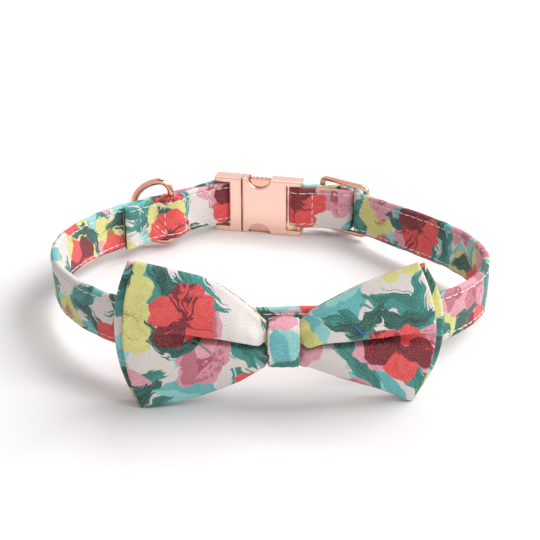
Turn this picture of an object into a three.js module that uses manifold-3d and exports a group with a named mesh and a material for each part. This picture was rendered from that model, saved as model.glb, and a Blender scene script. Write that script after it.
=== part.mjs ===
// A pet's bow tie collar: a printed cotton strap closed in a ring by a metal buckle,
// with a D-shaped ring, a strap slider and a two-layer bow sewn on at the front.
// Millimetres. +X right, +Y from the bow to the buckle, +Z up, and the floor is z = 0.
import * as THREE from "three";
import Module from "manifold-3d";
import { mergeVertices } from "three/addons/utils/BufferGeometryUtils.js";

const wasm = await Module();
wasm.setup();

// Sizes of the strap.
const STRAP_WIDTH = 15;
const STRAP_THICKNESS = 2.2;
const HEM_THICKNESS = 3.0; // the folded end of the inner layer
const GAP = 0.3; // between pieces that lie on each other
const FRONT_RAISE_DEG = 2.96; // the bow holds the front of the ring up
const MID_HEIGHT = 14.29; // the strap's middle above the floor, at y = 0
const FRONT_LIFT = { from: 10, over: 36, height: 0.55 }; // a little more, under the bow

// The strap's centreline from the slider, round the front, to the buckle's tongue.
const NECK_LINE = [
  // x, y
  [38.0, 51.5], [42.4, 45.9], [46.2, 41.0], [50.4, 35.4], [54.6, 28.6], [58.3, 21.6],
  [61.0, 14.8], [62.7, 7.4], [63.4, -0.4], [62.4, -8.6], [60.4, -15.2], [57.3, -21.3],
  [51.4, -29.7], [43.8, -36.8], [35.1, -41.9], [25.9, -44.9], [16.8, -46.2], [8.2, -46.7],
  [0.0, -46.9], [-8.3, -47.2], [-17.2, -47.2], [-26.6, -46.0], [-35.9, -42.8],
  [-44.6, -37.4], [-52.2, -30.1], [-58.7, -21.4], [-63.9, -11.3], [-67.2, 0.0],
  [-67.9, 12.0], [-65.7, 23.9], [-60.9, 35.6], [-56.2, 43.6], [-51.9, 49.0],
  [-46.3, 54.6], [-39.6, 61.1], [-33.0, 67.4],
];

// How far the strap's upper edge leans outwards, against the bearing from the middle.
const LEAN = [
  // bearing in degrees, lean in degrees
  [0, 0.2], [35, 1.2], [52, 1.0], [66, 0], [110, 0], [122, 2.8], [150, 4.0], [180, 3.4],
  [210, 2.7], [240, 1.9], [270, 1.2], [300, 0.2], [330, -0.2], [360, 0.2],
];

// Sizes of the buckle.
// Its own axes: s along it to the right, t outwards, z up. The middle is s = t = 0.
const BUCKLE_AT = { x: -6.1, y: 74.7, turnDeg: -12.9 };
const BUCKLE = {
  height: 20.4, thickness: 6, leftEnd: -15.85, rightEnd: 15.85, bodyLeft: -10.5,
  bodyRight: 10.5, seam: -5.9, flange: 2.0, bevel: 0.55, post: 14.5, postRadius: 1.15,
};
const CAVITY = { left: -6.5, right: 9.2, thickness: 3.6, low: 2.2, high: 18.2 };
const STEM = { right: 6.5, thickness: 3.0, low: 7.6, high: 12.8 };
const NOTCH = { s: 0.45, radius: 4.13, outside: 0.8, window: 4.4 };
const BUTTON = { halfWidth: 4.05, shoulder: 5.2, shoulderTop: 17.8, foot: 14.4,
  inset: 0.3, thickness: 3.0, ribs: 4, ribDepth: 0.35 };

// Sizes of the slider and the D-ring.
const SLIDER = { x: 24.0, y: 69.4, z: 11.1, turnDeg: -38, length: 21.0, height: 19.4,
  slotHeight: 16.4, thickness: 1.8, bar: 2.2, corner: 2.6, bevel: 0.45 };
const RING = { x: -36.6, y: 60.35, halfHeight: 10.95, depth: 13.45, wire: 1.15, corner: 1.6,
  fullness: 2.4, aboveStrap: 1.5, pointsDeg: 176 };

// Sizes of the bow.
const KNOT = { x: 1.85, halfWidth: 4.25, low: 11.9, high: 24.3, back: -50.2, front: -60.3,
  holeLow: 13.5, holeHigh: 22.9, holeBack: -51.8, holeFront: -58.2 };
const PAD = { halfWidth: 3.6, low: 13.0, high: 22.8, back: -48.3, front: -49.9 };
const LAYER_THICKNESS = 2.6;
const WING_REACH = {
  // from the knot's middle to the wing's end, at its corners and at half its height
  left: { corners: 38.35, middle: 42.4 },
  right: { corners: 35.0, middle: 40.5 },
};
const WING_OUTLINE = [
  // share of the reach, left top, left bottom, right top, right bottom
  [0.0, 22.4, 14.0, 22.4, 14.0],
  [0.122, 22.4, 14.0, 22.4, 14.0],
  [0.145, 24.6, 11.4, 24.6, 11.8],
  [0.2, 27.6, 9.7, 27.2, 11.2],
  [0.3, 31.3, 7.1, 29.5, 9.6],
  [0.43, 35.2, 4.9, 32.1, 7.7],
  [0.575, 38.0, 3.0, 34.9, 5.9],
  [0.72, 39.8, 1.6, 37.0, 4.2],
  [0.88, 41.5, 0.3, 39.2, 1.7],
  [0.95, 42.2, 0.0, 40.1, 0.0],
  [1.0, 42.6, 0.0, 40.7, 0.0],
];
const WING_DEPTH = [
  // share, left rim's y, right rim's y, forward bulge, left tuck, right tuck, layers apart
  [0.0, -57.9, -57.9, 0.0, 0.0, 0.0, 0.0],
  [0.122, -57.9, -57.9, 0.0, 0.0, 0.0, 0.0],
  [0.15, -57.9, -57.8, 1.3, 2.2, 2.0, 0.0],
  [0.2, -57.7, -57.4, 2.6, 4.2, 3.6, 0.0],
  [0.3, -57.5, -57.0, 3.8, 4.6, 4.0, 0.1],
  [0.45, -57.6, -56.6, 4.1, 3.0, 3.7, 0.3],
  [0.6, -58.1, -56.3, 3.6, 1.2, 2.8, 0.5],
  [0.75, -58.7, -56.0, 2.8, 0.3, 1.6, 0.8],
  [0.9, -59.1, -55.7, 1.7, 0.0, 0.6, 1.1],
  [1.0, -59.3, -55.5, 1.0, 0.0, 0.2, 1.3],
];
const BACK_LAYER = {
  // the layer behind: its height against the front one, its drop at the end, its reach
  left: { height: 0.94, drop: 0.4 }, right: { height: 0.94, drop: 0.5 }, reach: 1.06,
};
const CREASE = { left: 0.06, right: -0.06, belowFades: 0.36, aboveFades: 0.42, lift: 0.4 };

// Materials.
function cotton(colour) {
  return new THREE.MeshStandardMaterial({ color: colour, roughness: 0.85, metalness: 0 });
}
const roseGold = new THREE.MeshStandardMaterial({
  color: 0xf0b9a2, roughness: 0.28, metalness: 1,
});
const polished = new THREE.MeshStandardMaterial({
  color: 0xf7cbb8, roughness: 0.15, metalness: 1,
});

// Helpers.
const radians = (degrees) => (degrees * Math.PI) / 180;
const clamp = (value, low, high) => Math.min(high, Math.max(low, value));

/** The value of a table's column at x, straight between its rows. */
function column(table, x, index) {
  if (x <= table[0][0]) return table[0][index];
  for (let i = 1; i < table.length; i++) {
    if (x <= table[i][0]) {
      const share = (x - table[i - 1][0]) / (table[i][0] - table[i - 1][0]);
      return table[i - 1][index] * (1 - share) + table[i][index] * share;
    }
  }
  return table[table.length - 1][index];
}

/** Six times the volume inside a triangle list, positive when it faces outwards. */
function signedVolume(positions, faces) {
  let sum = 0;
  const point = (i) => new THREE.Vector3().fromArray(positions, 3 * i);
  for (let f = 0; f < faces.length; f += 3) {
    sum += point(faces[f]).dot(point(faces[f + 1]).cross(point(faces[f + 2])));
  }
  return sum;
}

/** A geometry from positions and faces, turned so that it faces outwards. */
function closedGeometry(positions, faces) {
  const turned = [...faces];
  if (signedVolume(positions, faces) < 0) {
    for (let f = 0; f < turned.length; f += 3) {
      [turned[f], turned[f + 1]] = [turned[f + 1], turned[f]];
    }
  }
  const geometry = new THREE.BufferGeometry();
  geometry.setAttribute("position", new THREE.Float32BufferAttribute(positions, 3));
  geometry.setIndex(turned);
  geometry.computeVertexNormals();
  return geometry;
}

/** A skin through rings of points, closed on itself or capped at both ends. */
function loft(rings, closed = false) {
  const around = rings[0].length;
  const positions = rings.flat().flatMap((p) => [p.x, p.y, p.z]);
  const faces = [];
  const last = closed ? rings.length : rings.length - 1;
  for (let i = 0; i < last; i++) {
    const j = (i + 1) % rings.length;
    for (let k = 0; k < around; k++) {
      const next = (k + 1) % around;
      const [a, b] = [i * around + k, i * around + next];
      const [c, d] = [j * around + k, j * around + next];
      faces.push(a, b, d, a, d, c);
    }
  }
  if (!closed) {
    for (const end of [0, rings.length - 1]) {
      const middle = new THREE.Vector3();
      rings[end].forEach((p) => middle.add(p));
      middle.divideScalar(around);
      const centre = positions.length / 3;
      positions.push(middle.x, middle.y, middle.z);
      for (let k = 0; k < around; k++) {
        const [a, b] = [end * around + k, end * around + ((k + 1) % around)];
        if (end === 0) faces.push(centre, b, a);
        else faces.push(centre, a, b);
      }
    }
  }
  return closedGeometry(positions, faces);
}

/** A solid for joining and cutting, from any closed geometry. */
function solid(geometry) {
  const bare = new THREE.BufferGeometry();
  bare.setAttribute("position", geometry.getAttribute("position"));
  if (geometry.index) bare.setIndex(geometry.index);
  const merged = mergeVertices(bare, 1e-4);
  return new wasm.Manifold(
    new wasm.Mesh({
      numProp: 3,
      vertProperties: new Float32Array(merged.attributes.position.array),
      triVerts: new Uint32Array(merged.index.array),
    }),
  );
}

/** The geometry of a solid. */
function geometryOf(body) {
  const mesh = body.getMesh();
  const geometry = new THREE.BufferGeometry();
  geometry.setAttribute(
    "position", new THREE.Float32BufferAttribute(Array.from(mesh.vertProperties), 3),
  );
  geometry.setIndex(Array.from(mesh.triVerts));
  return geometry;
}

/** A box between two corners. */
function box(s0, s1, t0, t1, z0, z1) {
  const geometry = new THREE.BoxGeometry(s1 - s0, t1 - t0, z1 - z0);
  geometry.translate((s0 + s1) / 2, (t0 + t1) / 2, (z0 + z1) / 2);
  return solid(geometry);
}

/** A plate: an outline in s and z, its thickness along t, its edges bevelled. */
function plate(outline, thickness, bevel, curveSegments = 12) {
  const geometry = new THREE.ExtrudeGeometry(outline, {
    depth: thickness - 2 * bevel, bevelEnabled: bevel > 0, bevelThickness: bevel,
    bevelSize: bevel, bevelOffset: -bevel, bevelSegments: 2, curveSegments, steps: 1,
  });
  geometry.translate(0, 0, bevel - thickness / 2);
  geometry.rotateX(Math.PI / 2);
  return geometry;
}

/** An upright round bar. */
function upright(s, t, z0, z1, radius) {
  const geometry = new THREE.CylinderGeometry(radius, radius, z1 - z0, 20);
  geometry.rotateX(Math.PI / 2);
  geometry.translate(s, t, (z0 + z1) / 2);
  return solid(geometry);
}

/** Turns and moves a geometry from its own axes into the part's. */
function place(geometry, at, z = 0) {
  geometry.rotateZ(radians(at.turnDeg));
  geometry.translate(at.x, at.y, z);
  return geometry;
}

/** A point of the part in plan, from a piece's own s and t. */
function inPlan(at, s, t) {
  const a = radians(at.turnDeg);
  return [at.x + s * Math.cos(a) - t * Math.sin(a), at.y + s * Math.sin(a) + t * Math.cos(a)];
}

/** Points on an arc in plan, from one bearing to another. */
function arc([x, y], radius, fromDeg, toDeg, count) {
  return Array.from({ length: count + 1 }, (_, i) => {
    const a = radians(fromDeg + ((toDeg - fromDeg) * i) / count);
    return [x + radius * Math.cos(a), y + radius * Math.sin(a)];
  });
}

/** A smooth line in plan through points, cut into steps of about the given length. */
function smooth(points, step) {
  const curve = new THREE.CatmullRomCurve3(
    points.map(([x, y]) => new THREE.Vector3(x, y, 0)), false, "centripetal",
  );
  curve.arcLengthDivisions = 2000;
  const count = Math.max(2, Math.round(curve.getLength() / step));
  return curve.getSpacedPoints(count).map((p) => [p.x, p.y]);
}

// The strap.
/** The height of the strap's middle above the floor. */
function midHeight(y) {
  const lift = clamp((-y - FRONT_LIFT.from) / FRONT_LIFT.over, 0, 1);
  return MID_HEIGHT - y * Math.sin(radians(FRONT_RAISE_DEG)) + FRONT_LIFT.height * lift ** 2;
}

/** The strap's own up direction at a place in plan. */
function strapUp(x, y) {
  const bearing = (THREE.MathUtils.radToDeg(Math.atan2(y, x)) + 360) % 360;
  const lean = radians(column(LEAN, bearing, 1));
  const reach = Math.hypot(x, y - 12);
  return new THREE.Vector3(
    (Math.sin(lean) * x) / reach, (Math.sin(lean) * (y - 12)) / reach, Math.cos(lean),
  );
}

/** The strap's centreline in plan, with its thickness at each point. */
function strapLine() {
  const wrap = STRAP_THICKNESS / 2 + GAP; // from a bar's surface to the centreline
  const apart = STRAP_THICKNESS + GAP; // between two layers' centrelines
  const tongue = inPlan(BUCKLE_AT, -BUCKLE.post, 0);
  const housing = inPlan(BUCKLE_AT, BUCKLE.post, 0);
  const aroundPost = BUCKLE.postRadius + wrap;
  const outward = radians(133.8);
  const normal = [Math.cos(outward), Math.sin(outward)];

  // the outer layer from the tongue's post, then the ring to the slider
  const beside = [tongue[0] + aroundPost * normal[0], tongue[1] + aroundPost * normal[1]];
  const neck = [beside, [-24.9, 75.7], ...NECK_LINE.slice().reverse()];
  const outer = smooth(
    [...neck, inPlan(SLIDER, 12.4, -2.9), inPlan(SLIDER, 9.4, -2.45)], 3.6,
  );

  // the inner layer lies against the outer one and bulges over the D-ring's bar
  const inner = [];
  const ringAt = new THREE.Vector2(RING.x, RING.y);
  let length = 0;
  const fine = smooth(neck.slice(0, 9), 1.6);
  for (let i = 1; i < fine.length - 1; i++) {
    length += Math.hypot(fine[i][0] - fine[i - 1][0], fine[i][1] - fine[i - 1][1]);
    if (length > 44.4) break;
    const along = [fine[i + 1][0] - fine[i - 1][0], fine[i + 1][1] - fine[i - 1][1]];
    const size = Math.hypot(...along);
    const inwards = [-along[1] / size, along[0] / size];
    const fromRing = ringAt.clone().sub(new THREE.Vector2(...fine[i]));
    const before = (fromRing.x * along[0] + fromRing.y * along[1]) / size;
    const bump = Math.abs(before) < 8 ? Math.cos((Math.PI * before) / 16) ** 2 : 0;
    const post = clamp(1 - length / 8, 0, 1);
    const off = apart + bump * (2 * RING.wire + GAP) + post * post * (2 * aroundPost - apart);
    inner.push([fine[i][0] + inwards[0] * off, fine[i][1] + inwards[1] * off]);
  }
  const tongueWrap = arc(tongue, aroundPost, 133.8 - 180, 133.8, 12);
  const start = inner.slice(2).reverse();

  // through the slider, round the housing's post, and back to the slider's middle bar
  const slider = [
    [7.2, -1.85], [5.7, 0.0], [4.4, 2.4], [2.5, 4.4], [0, 5.05], [-2.5, 4.4],
    [-4.4, 2.4], [-5.7, 0.0], [-7.2, -1.85], [-9.4, -2.45],
  ].map(([s, t]) => inPlan(SLIDER, s, t));
  const housingWrap = arc(housing, aroundPost, 90, 272, 12);
  const middle = inPlan(SLIDER, 0, 0);
  const eye = arc(middle, SLIDER.bar / 2 + wrap, 260.7, 260.7 + 226, 15);
  const through = smooth([outer.at(-1), ...slider, [11.8, 73.3], housingWrap[0]], 1.3);
  const back = smooth([housingWrap.at(-1), [12.0, 69.2], [17.2, 68.4], eye[0]], 2.2);

  const line = [
    ...start, ...tongueWrap, ...outer.slice(1), ...through.slice(1), ...housingWrap.slice(1),
    ...back.slice(1), ...eye.slice(1),
  ];
  return line;
}

/** The strap: a flat band on its line, its long edges and both its ends rounded. */
function strapGeometry() {
  const line = strapLine();
  const rings = [];
  const lengths = [0];
  for (let i = 1; i < line.length; i++) {
    lengths.push(lengths[i - 1] + Math.hypot(line[i][0] - line[i - 1][0],
      line[i][1] - line[i - 1][1]));
  }
  const section = (x, y, side, thick, shift) => {
    const up = strapUp(x, y);
    const out = new THREE.Vector3(side[0], side[1], 0);
    const at = new THREE.Vector3(x, y, midHeight(y)).addScaledVector(out, shift);
    const [h, t] = [STRAP_WIDTH / 2, thick / 2];
    const cut = Math.min(0.55, t * 0.6);
    return [
      [-h + cut, -t], [h - cut, -t], [h, -t + cut], [h, t - cut],
      [h - cut, t], [-h + cut, t], [-h, t - cut], [-h, -t + cut],
    ].map(([a, b]) => at.clone().addScaledVector(up, a).addScaledVector(out, b));
  };
  const last = line.length - 1;
  for (let i = 0; i <= last; i++) {
    const [before, after] = [line[Math.max(0, i - 1)], line[Math.min(last, i + 1)]];
    const along = [after[0] - before[0], after[1] - before[1]];
    const size = Math.hypot(...along);
    const side = [-along[1] / size, along[0] / size];
    const hem = clamp(1 - lengths[i] / 5, 0, 1);
    const thick = STRAP_THICKNESS + (HEM_THICKNESS - STRAP_THICKNESS) * Math.sqrt(hem);
    const shift = (STRAP_THICKNESS - thick) / 2;
    if (i === 0 || i === last) {
      const ends = [[0.96, 0.25], [0.72, 0.66], [0.36, 0.92]];
      const rounds = ends.map(([reach, share]) => {
        const d = ((i === 0 ? -1 : 1) * reach * thick) / 2 / size;
        return section(line[i][0] + along[0] * d, line[i][1] + along[1] * d, side,
          thick * share, shift);
      });
      if (i === 0) rings.push(...rounds, section(...line[i], side, thick, shift));
      else rings.push(section(...line[i], side, thick, shift), ...rounds.reverse());
    } else {
      rings.push(section(...line[i], side, thick, shift));
    }
  }
  return loft(rings);
}

// The buckle.
/** The buckle's outline on one side of the seam, with its two flanges and notches. */
function buckleOutline(side) {
  const { height, flange } = BUCKLE;
  const shape = new THREE.Shape();
  const end = side < 0 ? BUCKLE.leftEnd : BUCKLE.rightEnd;
  const body = side < 0 ? BUCKLE.bodyLeft : BUCKLE.bodyRight;
  const seam = BUCKLE.seam + (side * GAP) / 2;
  shape.moveTo(seam, 0);
  if (side > 0) {
    const half = Math.sqrt(NOTCH.radius ** 2 - NOTCH.outside ** 2);
    const edge = Math.atan2(NOTCH.outside, half);
    shape.lineTo(NOTCH.s - half, 0);
    shape.absarc(NOTCH.s, -NOTCH.outside, NOTCH.radius, Math.PI - edge, edge, true);
  }
  shape.lineTo(end, 0);
  shape.lineTo(end, flange);
  shape.lineTo(body, flange);
  shape.lineTo(body, height - flange);
  shape.lineTo(end, height - flange);
  shape.lineTo(end, height);
  if (side > 0) {
    const half = Math.sqrt(NOTCH.radius ** 2 - NOTCH.outside ** 2);
    const edge = Math.atan2(NOTCH.outside, half);
    shape.lineTo(NOTCH.s + half, height);
    shape.absarc(NOTCH.s, height + NOTCH.outside, NOTCH.radius, -edge, edge - Math.PI, true);
  }
  shape.lineTo(seam, height);
  shape.closePath();
  return shape;
}

/** The hollow half of the buckle, with a notch above and below for the buttons. */
function housingGeometry() {
  const { height, thickness, bevel, post, postRadius } = BUCKLE;
  const body = solid(plate(buckleOutline(1), thickness, bevel));
  const half = CAVITY.thickness / 2;
  const cavity = box(CAVITY.left, CAVITY.right, -half, half, CAVITY.low, CAVITY.high);
  const window = box(
    NOTCH.s - NOTCH.window, NOTCH.s + NOTCH.window, -half, half, -1, height + 1,
  );
  return geometryOf(
    body.subtract(cavity).subtract(window).add(upright(post, 0, 1, height - 1, postRadius)),
  );
}

/** The other half of the buckle: its frame and the stem that enters the housing. */
function tongueGeometry() {
  const { height, thickness, bevel, post, postRadius, seam } = BUCKLE;
  const half = STEM.thickness / 2;
  const stem = box(seam - 1.5, STEM.right, -half, half, STEM.low, STEM.high);
  return geometryOf(
    solid(plate(buckleOutline(-1), thickness, bevel))
      .add(stem)
      .add(upright(-post, 0, 1, height - 1, postRadius)),
  );
}

/** A push button: a ribbed thumb face over a wider shoulder inside the housing. */
function buttonGeometry(upper) {
  const top = BUCKLE.height - BUTTON.inset;
  const { halfWidth, shoulder, shoulderTop, foot, ribs, ribDepth } = BUTTON;
  const points = [[-shoulder, foot], [shoulder, foot], [shoulder, shoulderTop]];
  points.push([halfWidth, shoulderTop], [halfWidth, top - 1.1], [halfWidth - 0.9, top]);
  const span = 2 * (halfWidth - 0.9);
  for (let i = 1; i < 2 * ribs; i++) {
    points.push([halfWidth - 0.9 - (span * i) / (2 * ribs), top - (i % 2 ? ribDepth : 0)]);
  }
  points.push([-halfWidth + 0.9, top], [-halfWidth, top - 1.1], [-halfWidth, shoulderTop]);
  points.push([-shoulder, shoulderTop]);
  const shape = new THREE.Shape(points.map(([s, z]) => new THREE.Vector2(s, z)));
  const geometry = plate(shape, BUTTON.thickness, 0);
  geometry.translate(NOTCH.s, 0, 0);
  if (upper) return geometry;
  geometry.rotateY(Math.PI);
  geometry.translate(2 * NOTCH.s, 0, BUCKLE.height);
  return geometry;
}

// The slider and the D-ring.
/** The strap slider: a rounded frame with a middle bar. */
function sliderGeometry() {
  const { length, height, slotHeight, bar, corner, thickness, bevel } = SLIDER;
  const rounded = (shape, x0, x1, z0, z1, r) => {
    shape.moveTo(x0 + r, z0);
    shape.lineTo(x1 - r, z0);
    shape.absarc(x1 - r, z0 + r, r, -Math.PI / 2, 0, false);
    shape.absarc(x1 - r, z1 - r, r, 0, Math.PI / 2, false);
    shape.absarc(x0 + r, z1 - r, r, Math.PI / 2, Math.PI, false);
    shape.absarc(x0 + r, z0 + r, r, Math.PI, 1.5 * Math.PI, false);
    return shape;
  };
  const outline = rounded(
    new THREE.Shape(), -length / 2, length / 2, -height / 2, height / 2, corner,
  );
  const slots = [-1, 1].map((side) => {
    const [near, far] = [bar / 2, length / 2 - bar];
    const hole = new THREE.Path();
    return rounded(hole, side < 0 ? -far : near, side < 0 ? -near : far,
      -slotHeight / 2, slotHeight / 2, 0.8);
  });
  outline.holes.push(...slots);
  return plate(outline, thickness, bevel, 4);
}

/** The D-ring's place: its bar's middle, and the bar's direction. */
function ringFrame() {
  const up = strapUp(RING.x, RING.y).normalize();
  const middle = new THREE.Vector3(RING.x, RING.y, midHeight(RING.y) + RING.aboveStrap);
  const a = radians(RING.pointsDeg);
  const reach = new THREE.Vector3(Math.cos(a), Math.sin(a), 0);
  reach.addScaledVector(up, -reach.dot(up)).normalize();
  return { up, middle, reach };
}

/** The D-ring: round wire on a straight bar, two corners and half a full oval. */
function ringGeometry() {
  const { halfHeight: a, depth, corner, fullness, wire } = RING;
  const flat = [];
  for (let i = 0; i <= 4; i++) flat.push([0, (-1 + i / 2) * (a - corner)]);
  for (let i = 1; i < 5; i++) {
    const t = Math.PI - (i * Math.PI) / 10;
    flat.push([corner + corner * Math.cos(t), a - corner + corner * Math.sin(t)]);
  }
  const power = 2 / fullness;
  const from = Math.asin((corner / depth) ** (1 / power));
  for (let i = 0; i <= 18; i++) {
    const t = from + ((Math.PI - 2 * from) * i) / 18;
    const height = Math.sign(Math.cos(t)) * Math.abs(Math.cos(t) / Math.cos(from)) ** power;
    flat.push([depth * Math.sin(t) ** power, a * height]);
  }
  for (let i = 4; i > 0; i--) {
    const t = Math.PI - (i * Math.PI) / 10;
    flat.push([corner + corner * Math.cos(t), -(a - corner + corner * Math.sin(t))]);
  }
  const { up, middle, reach } = ringFrame();
  const across = new THREE.Vector3().crossVectors(up, reach).normalize();
  const at = ([r, h]) => middle.clone().addScaledVector(reach, r).addScaledVector(up, h);
  const rings = flat.map((point, i) => {
    const ahead = at(flat[(i + 1) % flat.length]);
    const behind = at(flat[(i + flat.length - 1) % flat.length]);
    const along = ahead.sub(behind).normalize();
    const side = new THREE.Vector3().crossVectors(along, across).normalize();
    return Array.from({ length: 12 }, (_, k) => {
      const t = (k * Math.PI) / 6;
      return at(point).addScaledVector(side, wire * Math.cos(t))
        .addScaledVector(across, wire * Math.sin(t));
    });
  });
  return loft(rings, true);
}

// The bow.
/** A point on a bow layer's front, from -1..1 across it and -1..1 up it. */
function bowFront(across, up, back) {
  const side = across < 0 ? "left" : "right";
  const share = Math.abs(across);
  const reach = WING_REACH[side];
  const { height, drop } = back ? BACK_LAYER[side] : { height: 1, drop: 0 };
  const length = reach.corners + (reach.middle - reach.corners) * (1 - up * up);
  const longer = back ? (BACK_LAYER.reach - 1) * THREE.MathUtils.smoothstep(share, 0.5, 1) : 0;
  const x = KNOT.x + Math.sign(across) * length * (share + longer);

  // both layers share their middle; the back one is lower towards its two rims
  const picks = side === "left" ? [1, 2, 1, 4] : [3, 4, 2, 5];
  const [top, bottom] = picks.slice(0, 2).map((i) => column(WING_OUTLINE, share, i));
  const [middle, half] = [(top + bottom) / 2, (top - bottom) / 2];
  const outer = THREE.MathUtils.smoothstep(Math.abs(up), 0.3, 1);
  const z = middle + half * up - outer * (half * (1 - height) * Math.sign(up) + drop * share);

  // pillowed in front, and below the crease tucked back
  const level = (z - middle) / half;
  const tuck = column(WING_DEPTH, share, picks[3]);
  const fold = level - CREASE[side];
  const pleat = fold < 0
    ? tuck * Math.exp(fold / CREASE.belowFades)
    : -CREASE.lift * tuck * Math.exp(-fold / CREASE.aboveFades);
  const rim = 1 - Math.max(0, Math.abs(level) - 0.75) / 0.25;
  const bulge = column(WING_DEPTH, share, 3) * (1 - level * level);
  const layer = back ? LAYER_THICKNESS + GAP + column(WING_DEPTH, share, 6) : 0;
  return new THREE.Vector3(x, column(WING_DEPTH, share, picks[2]) - bulge + pleat * rim + layer, z);
}

/** One bow layer: a sheet of even thickness with a round rim. */
function bowLayerGeometry(back) {
  const shares = [0, 0.06, 0.12, 0.132, 0.155, 0.2, 0.26, 0.33, 0.41, 0.5, 0.59, 0.68,
    0.77, 0.86, 0.93, 0.965, 0.987, 1];
  const columns = [...shares.slice(1).reverse().map((s) => -s), ...shares];
  const rowsFor = (crease) => [-1, -0.975, -0.93, -0.84, -0.68, -0.5, -0.32, -0.16,
    crease - 0.035, crease + 0.035, 0.18, 0.34, 0.52, 0.7, 0.85, 0.93, 0.975, 1];
  const rowCount = rowsFor(0).length;
  const [front, rear] = [[], []];
  for (const across of columns) {
    const rows = rowsFor(CREASE[across < 0 ? "left" : "right"] * Math.min(1,
      Math.abs(across) * 8));
    for (const up of rows) {
      const face = bowFront(across, up, back);
      const height = Math.abs(face.z - bowFront(across, Math.sign(up || 1), back).z);
      const reach = Math.abs(face.x - bowFront(Math.sign(across || 1), up, back).x);
      const inside = clamp(Math.min(height, reach) / (LAYER_THICKNESS / 2), 0, 1);
      const half = (LAYER_THICKNESS / 2) * Math.sqrt(1 - (1 - inside) ** 2);
      const middle = face.y + LAYER_THICKNESS / 2;
      front.push([face.x, middle - half, face.z]);
      rear.push([face.x, middle + half, face.z]);
    }
  }
  const positions = [...front, ...rear].flat();
  const faces = [];
  for (let i = 0; i + 1 < columns.length; i++) {
    for (let k = 0; k + 1 < rowCount; k++) {
      const [a, b] = [i * rowCount + k, i * rowCount + k + 1];
      const [c, d] = [a + rowCount, b + rowCount];
      const r = front.length;
      faces.push(a, c, d, a, d, b, r + a, r + d, r + c, r + a, r + b, r + d);
    }
  }
  const raw = new THREE.BufferGeometry();
  raw.setAttribute("position", new THREE.Float32BufferAttribute(positions, 3));
  raw.setIndex(faces);
  const merged = mergeVertices(raw, 1e-3);
  const kept = [];
  const index = Array.from(merged.index.array);
  for (let f = 0; f < index.length; f += 3) {
    const [a, b, c] = index.slice(f, f + 3);
    if (a !== b && b !== c && c !== a) kept.push(a, b, c);
  }
  return closedGeometry(Array.from(merged.attributes.position.array), kept);
}

/** A closed superellipse in y and z, as a ring of points at one x. */
function ovalRing(x, y0, y1, z0, z1, squareness, count) {
  return Array.from({ length: count }, (_, i) => {
    const t = (2 * Math.PI * i) / count;
    const [c, s] = [Math.cos(t), Math.sin(t)];
    const power = 2 / squareness;
    return new THREE.Vector3(
      x,
      (y0 + y1) / 2 + ((y1 - y0) / 2) * Math.sign(c) * Math.abs(c) ** power,
      (z0 + z1) / 2 + ((z1 - z0) / 2) * Math.sign(s) * Math.abs(s) ** power,
    );
  });
}

/** The knot: a soft sleeve around the middle of both layers. */
function knotGeometry() {
  const { x, halfWidth, low, high, back, front } = KNOT;
  const count = 28;
  const ring = (share, pull) => ovalRing(x + share * halfWidth, front + pull, back - pull / 3,
    low + pull * 0.6, high - pull * 0.6, 3.2, count);
  const outside = [[-1, 0.55], [-0.93, 0.2], [-0.7, 0.05], [0, 0], [0.7, 0.05], [0.93, 0.2],
    [1, 0.55]].map(([share, pull]) => ring(share, pull));
  const inside = [1, 0, -1].map((share) => ovalRing(x + share * halfWidth, KNOT.holeFront,
    KNOT.holeBack, KNOT.holeLow, KNOT.holeHigh, 5, count));
  return loft([...outside, ...inside], true);
}

/** The small pad that is sewn between the knot and the strap. */
function padGeometry() {
  const { halfWidth, low, high, back, front } = PAD;
  const outline = new THREE.Shape([
    [-halfWidth, low], [halfWidth, low], [halfWidth, high], [-halfWidth, high],
  ].map(([s, z]) => new THREE.Vector2(s, z)));
  const geometry = plate(outline, back - front, 0.3);
  geometry.translate(KNOT.x, (back + front) / 2, 0);
  return geometry;
}

// The assembly.
const collar = new THREE.Group();
collar.name = "bow_tie_collar";

/** Adds one named piece. */
function add(name, geometry, material) {
  const clean = new THREE.BufferGeometry();
  clean.setAttribute("position", geometry.getAttribute("position").clone());
  if (geometry.index) clean.setIndex(geometry.index.clone());
  const merged = mergeVertices(clean, 1e-4);
  merged.computeVertexNormals();
  const mesh = new THREE.Mesh(merged, material.clone());
  mesh.name = name;
  collar.add(mesh);
}

add("strap", strapGeometry(), cotton(0xd9b9a8));
add("buckle_tongue", place(tongueGeometry(), BUCKLE_AT), roseGold);
add("buckle_housing", place(housingGeometry(), BUCKLE_AT), roseGold);
add("button_upper", place(buttonGeometry(true), BUCKLE_AT), polished);
add("button_lower", place(buttonGeometry(false), BUCKLE_AT), polished);
add("slider", place(sliderGeometry(), SLIDER, SLIDER.z), roseGold);
add("d_ring", ringGeometry(), roseGold);
add("bow_front_layer", bowLayerGeometry(false), cotton(0x8fb5a6));
add("bow_back_layer", bowLayerGeometry(true), cotton(0x4f8f80));
add("bow_knot", knotGeometry(), cotton(0x7cc4bf));
add("bow_pad", padGeometry(), cotton(0xe8e2da));

// The origin is the middle of the whole part's footprint, on the floor.
const bounds = new THREE.Box3().setFromObject(collar);
const shift = bounds.getCenter(new THREE.Vector3()).setZ(bounds.min.z).negate();
collar.children.forEach((mesh) => mesh.geometry.translate(shift.x, shift.y, shift.z));

export default collar;
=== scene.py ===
# %% [markdown]
# # A pet's bow tie collar
# The collar is a strap of printed cotton that a metal buckle closes in a ring. A bow of two
# stacked layers is sewn on at the front, a D-shaped ring hangs beside the buckle, and a slider
# sets the length. The CAD model gives every place and size, and this lesson dresses it. Lengths
# are in millimetres until a mesh is made.

# %% Load the CAD model
import math

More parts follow.
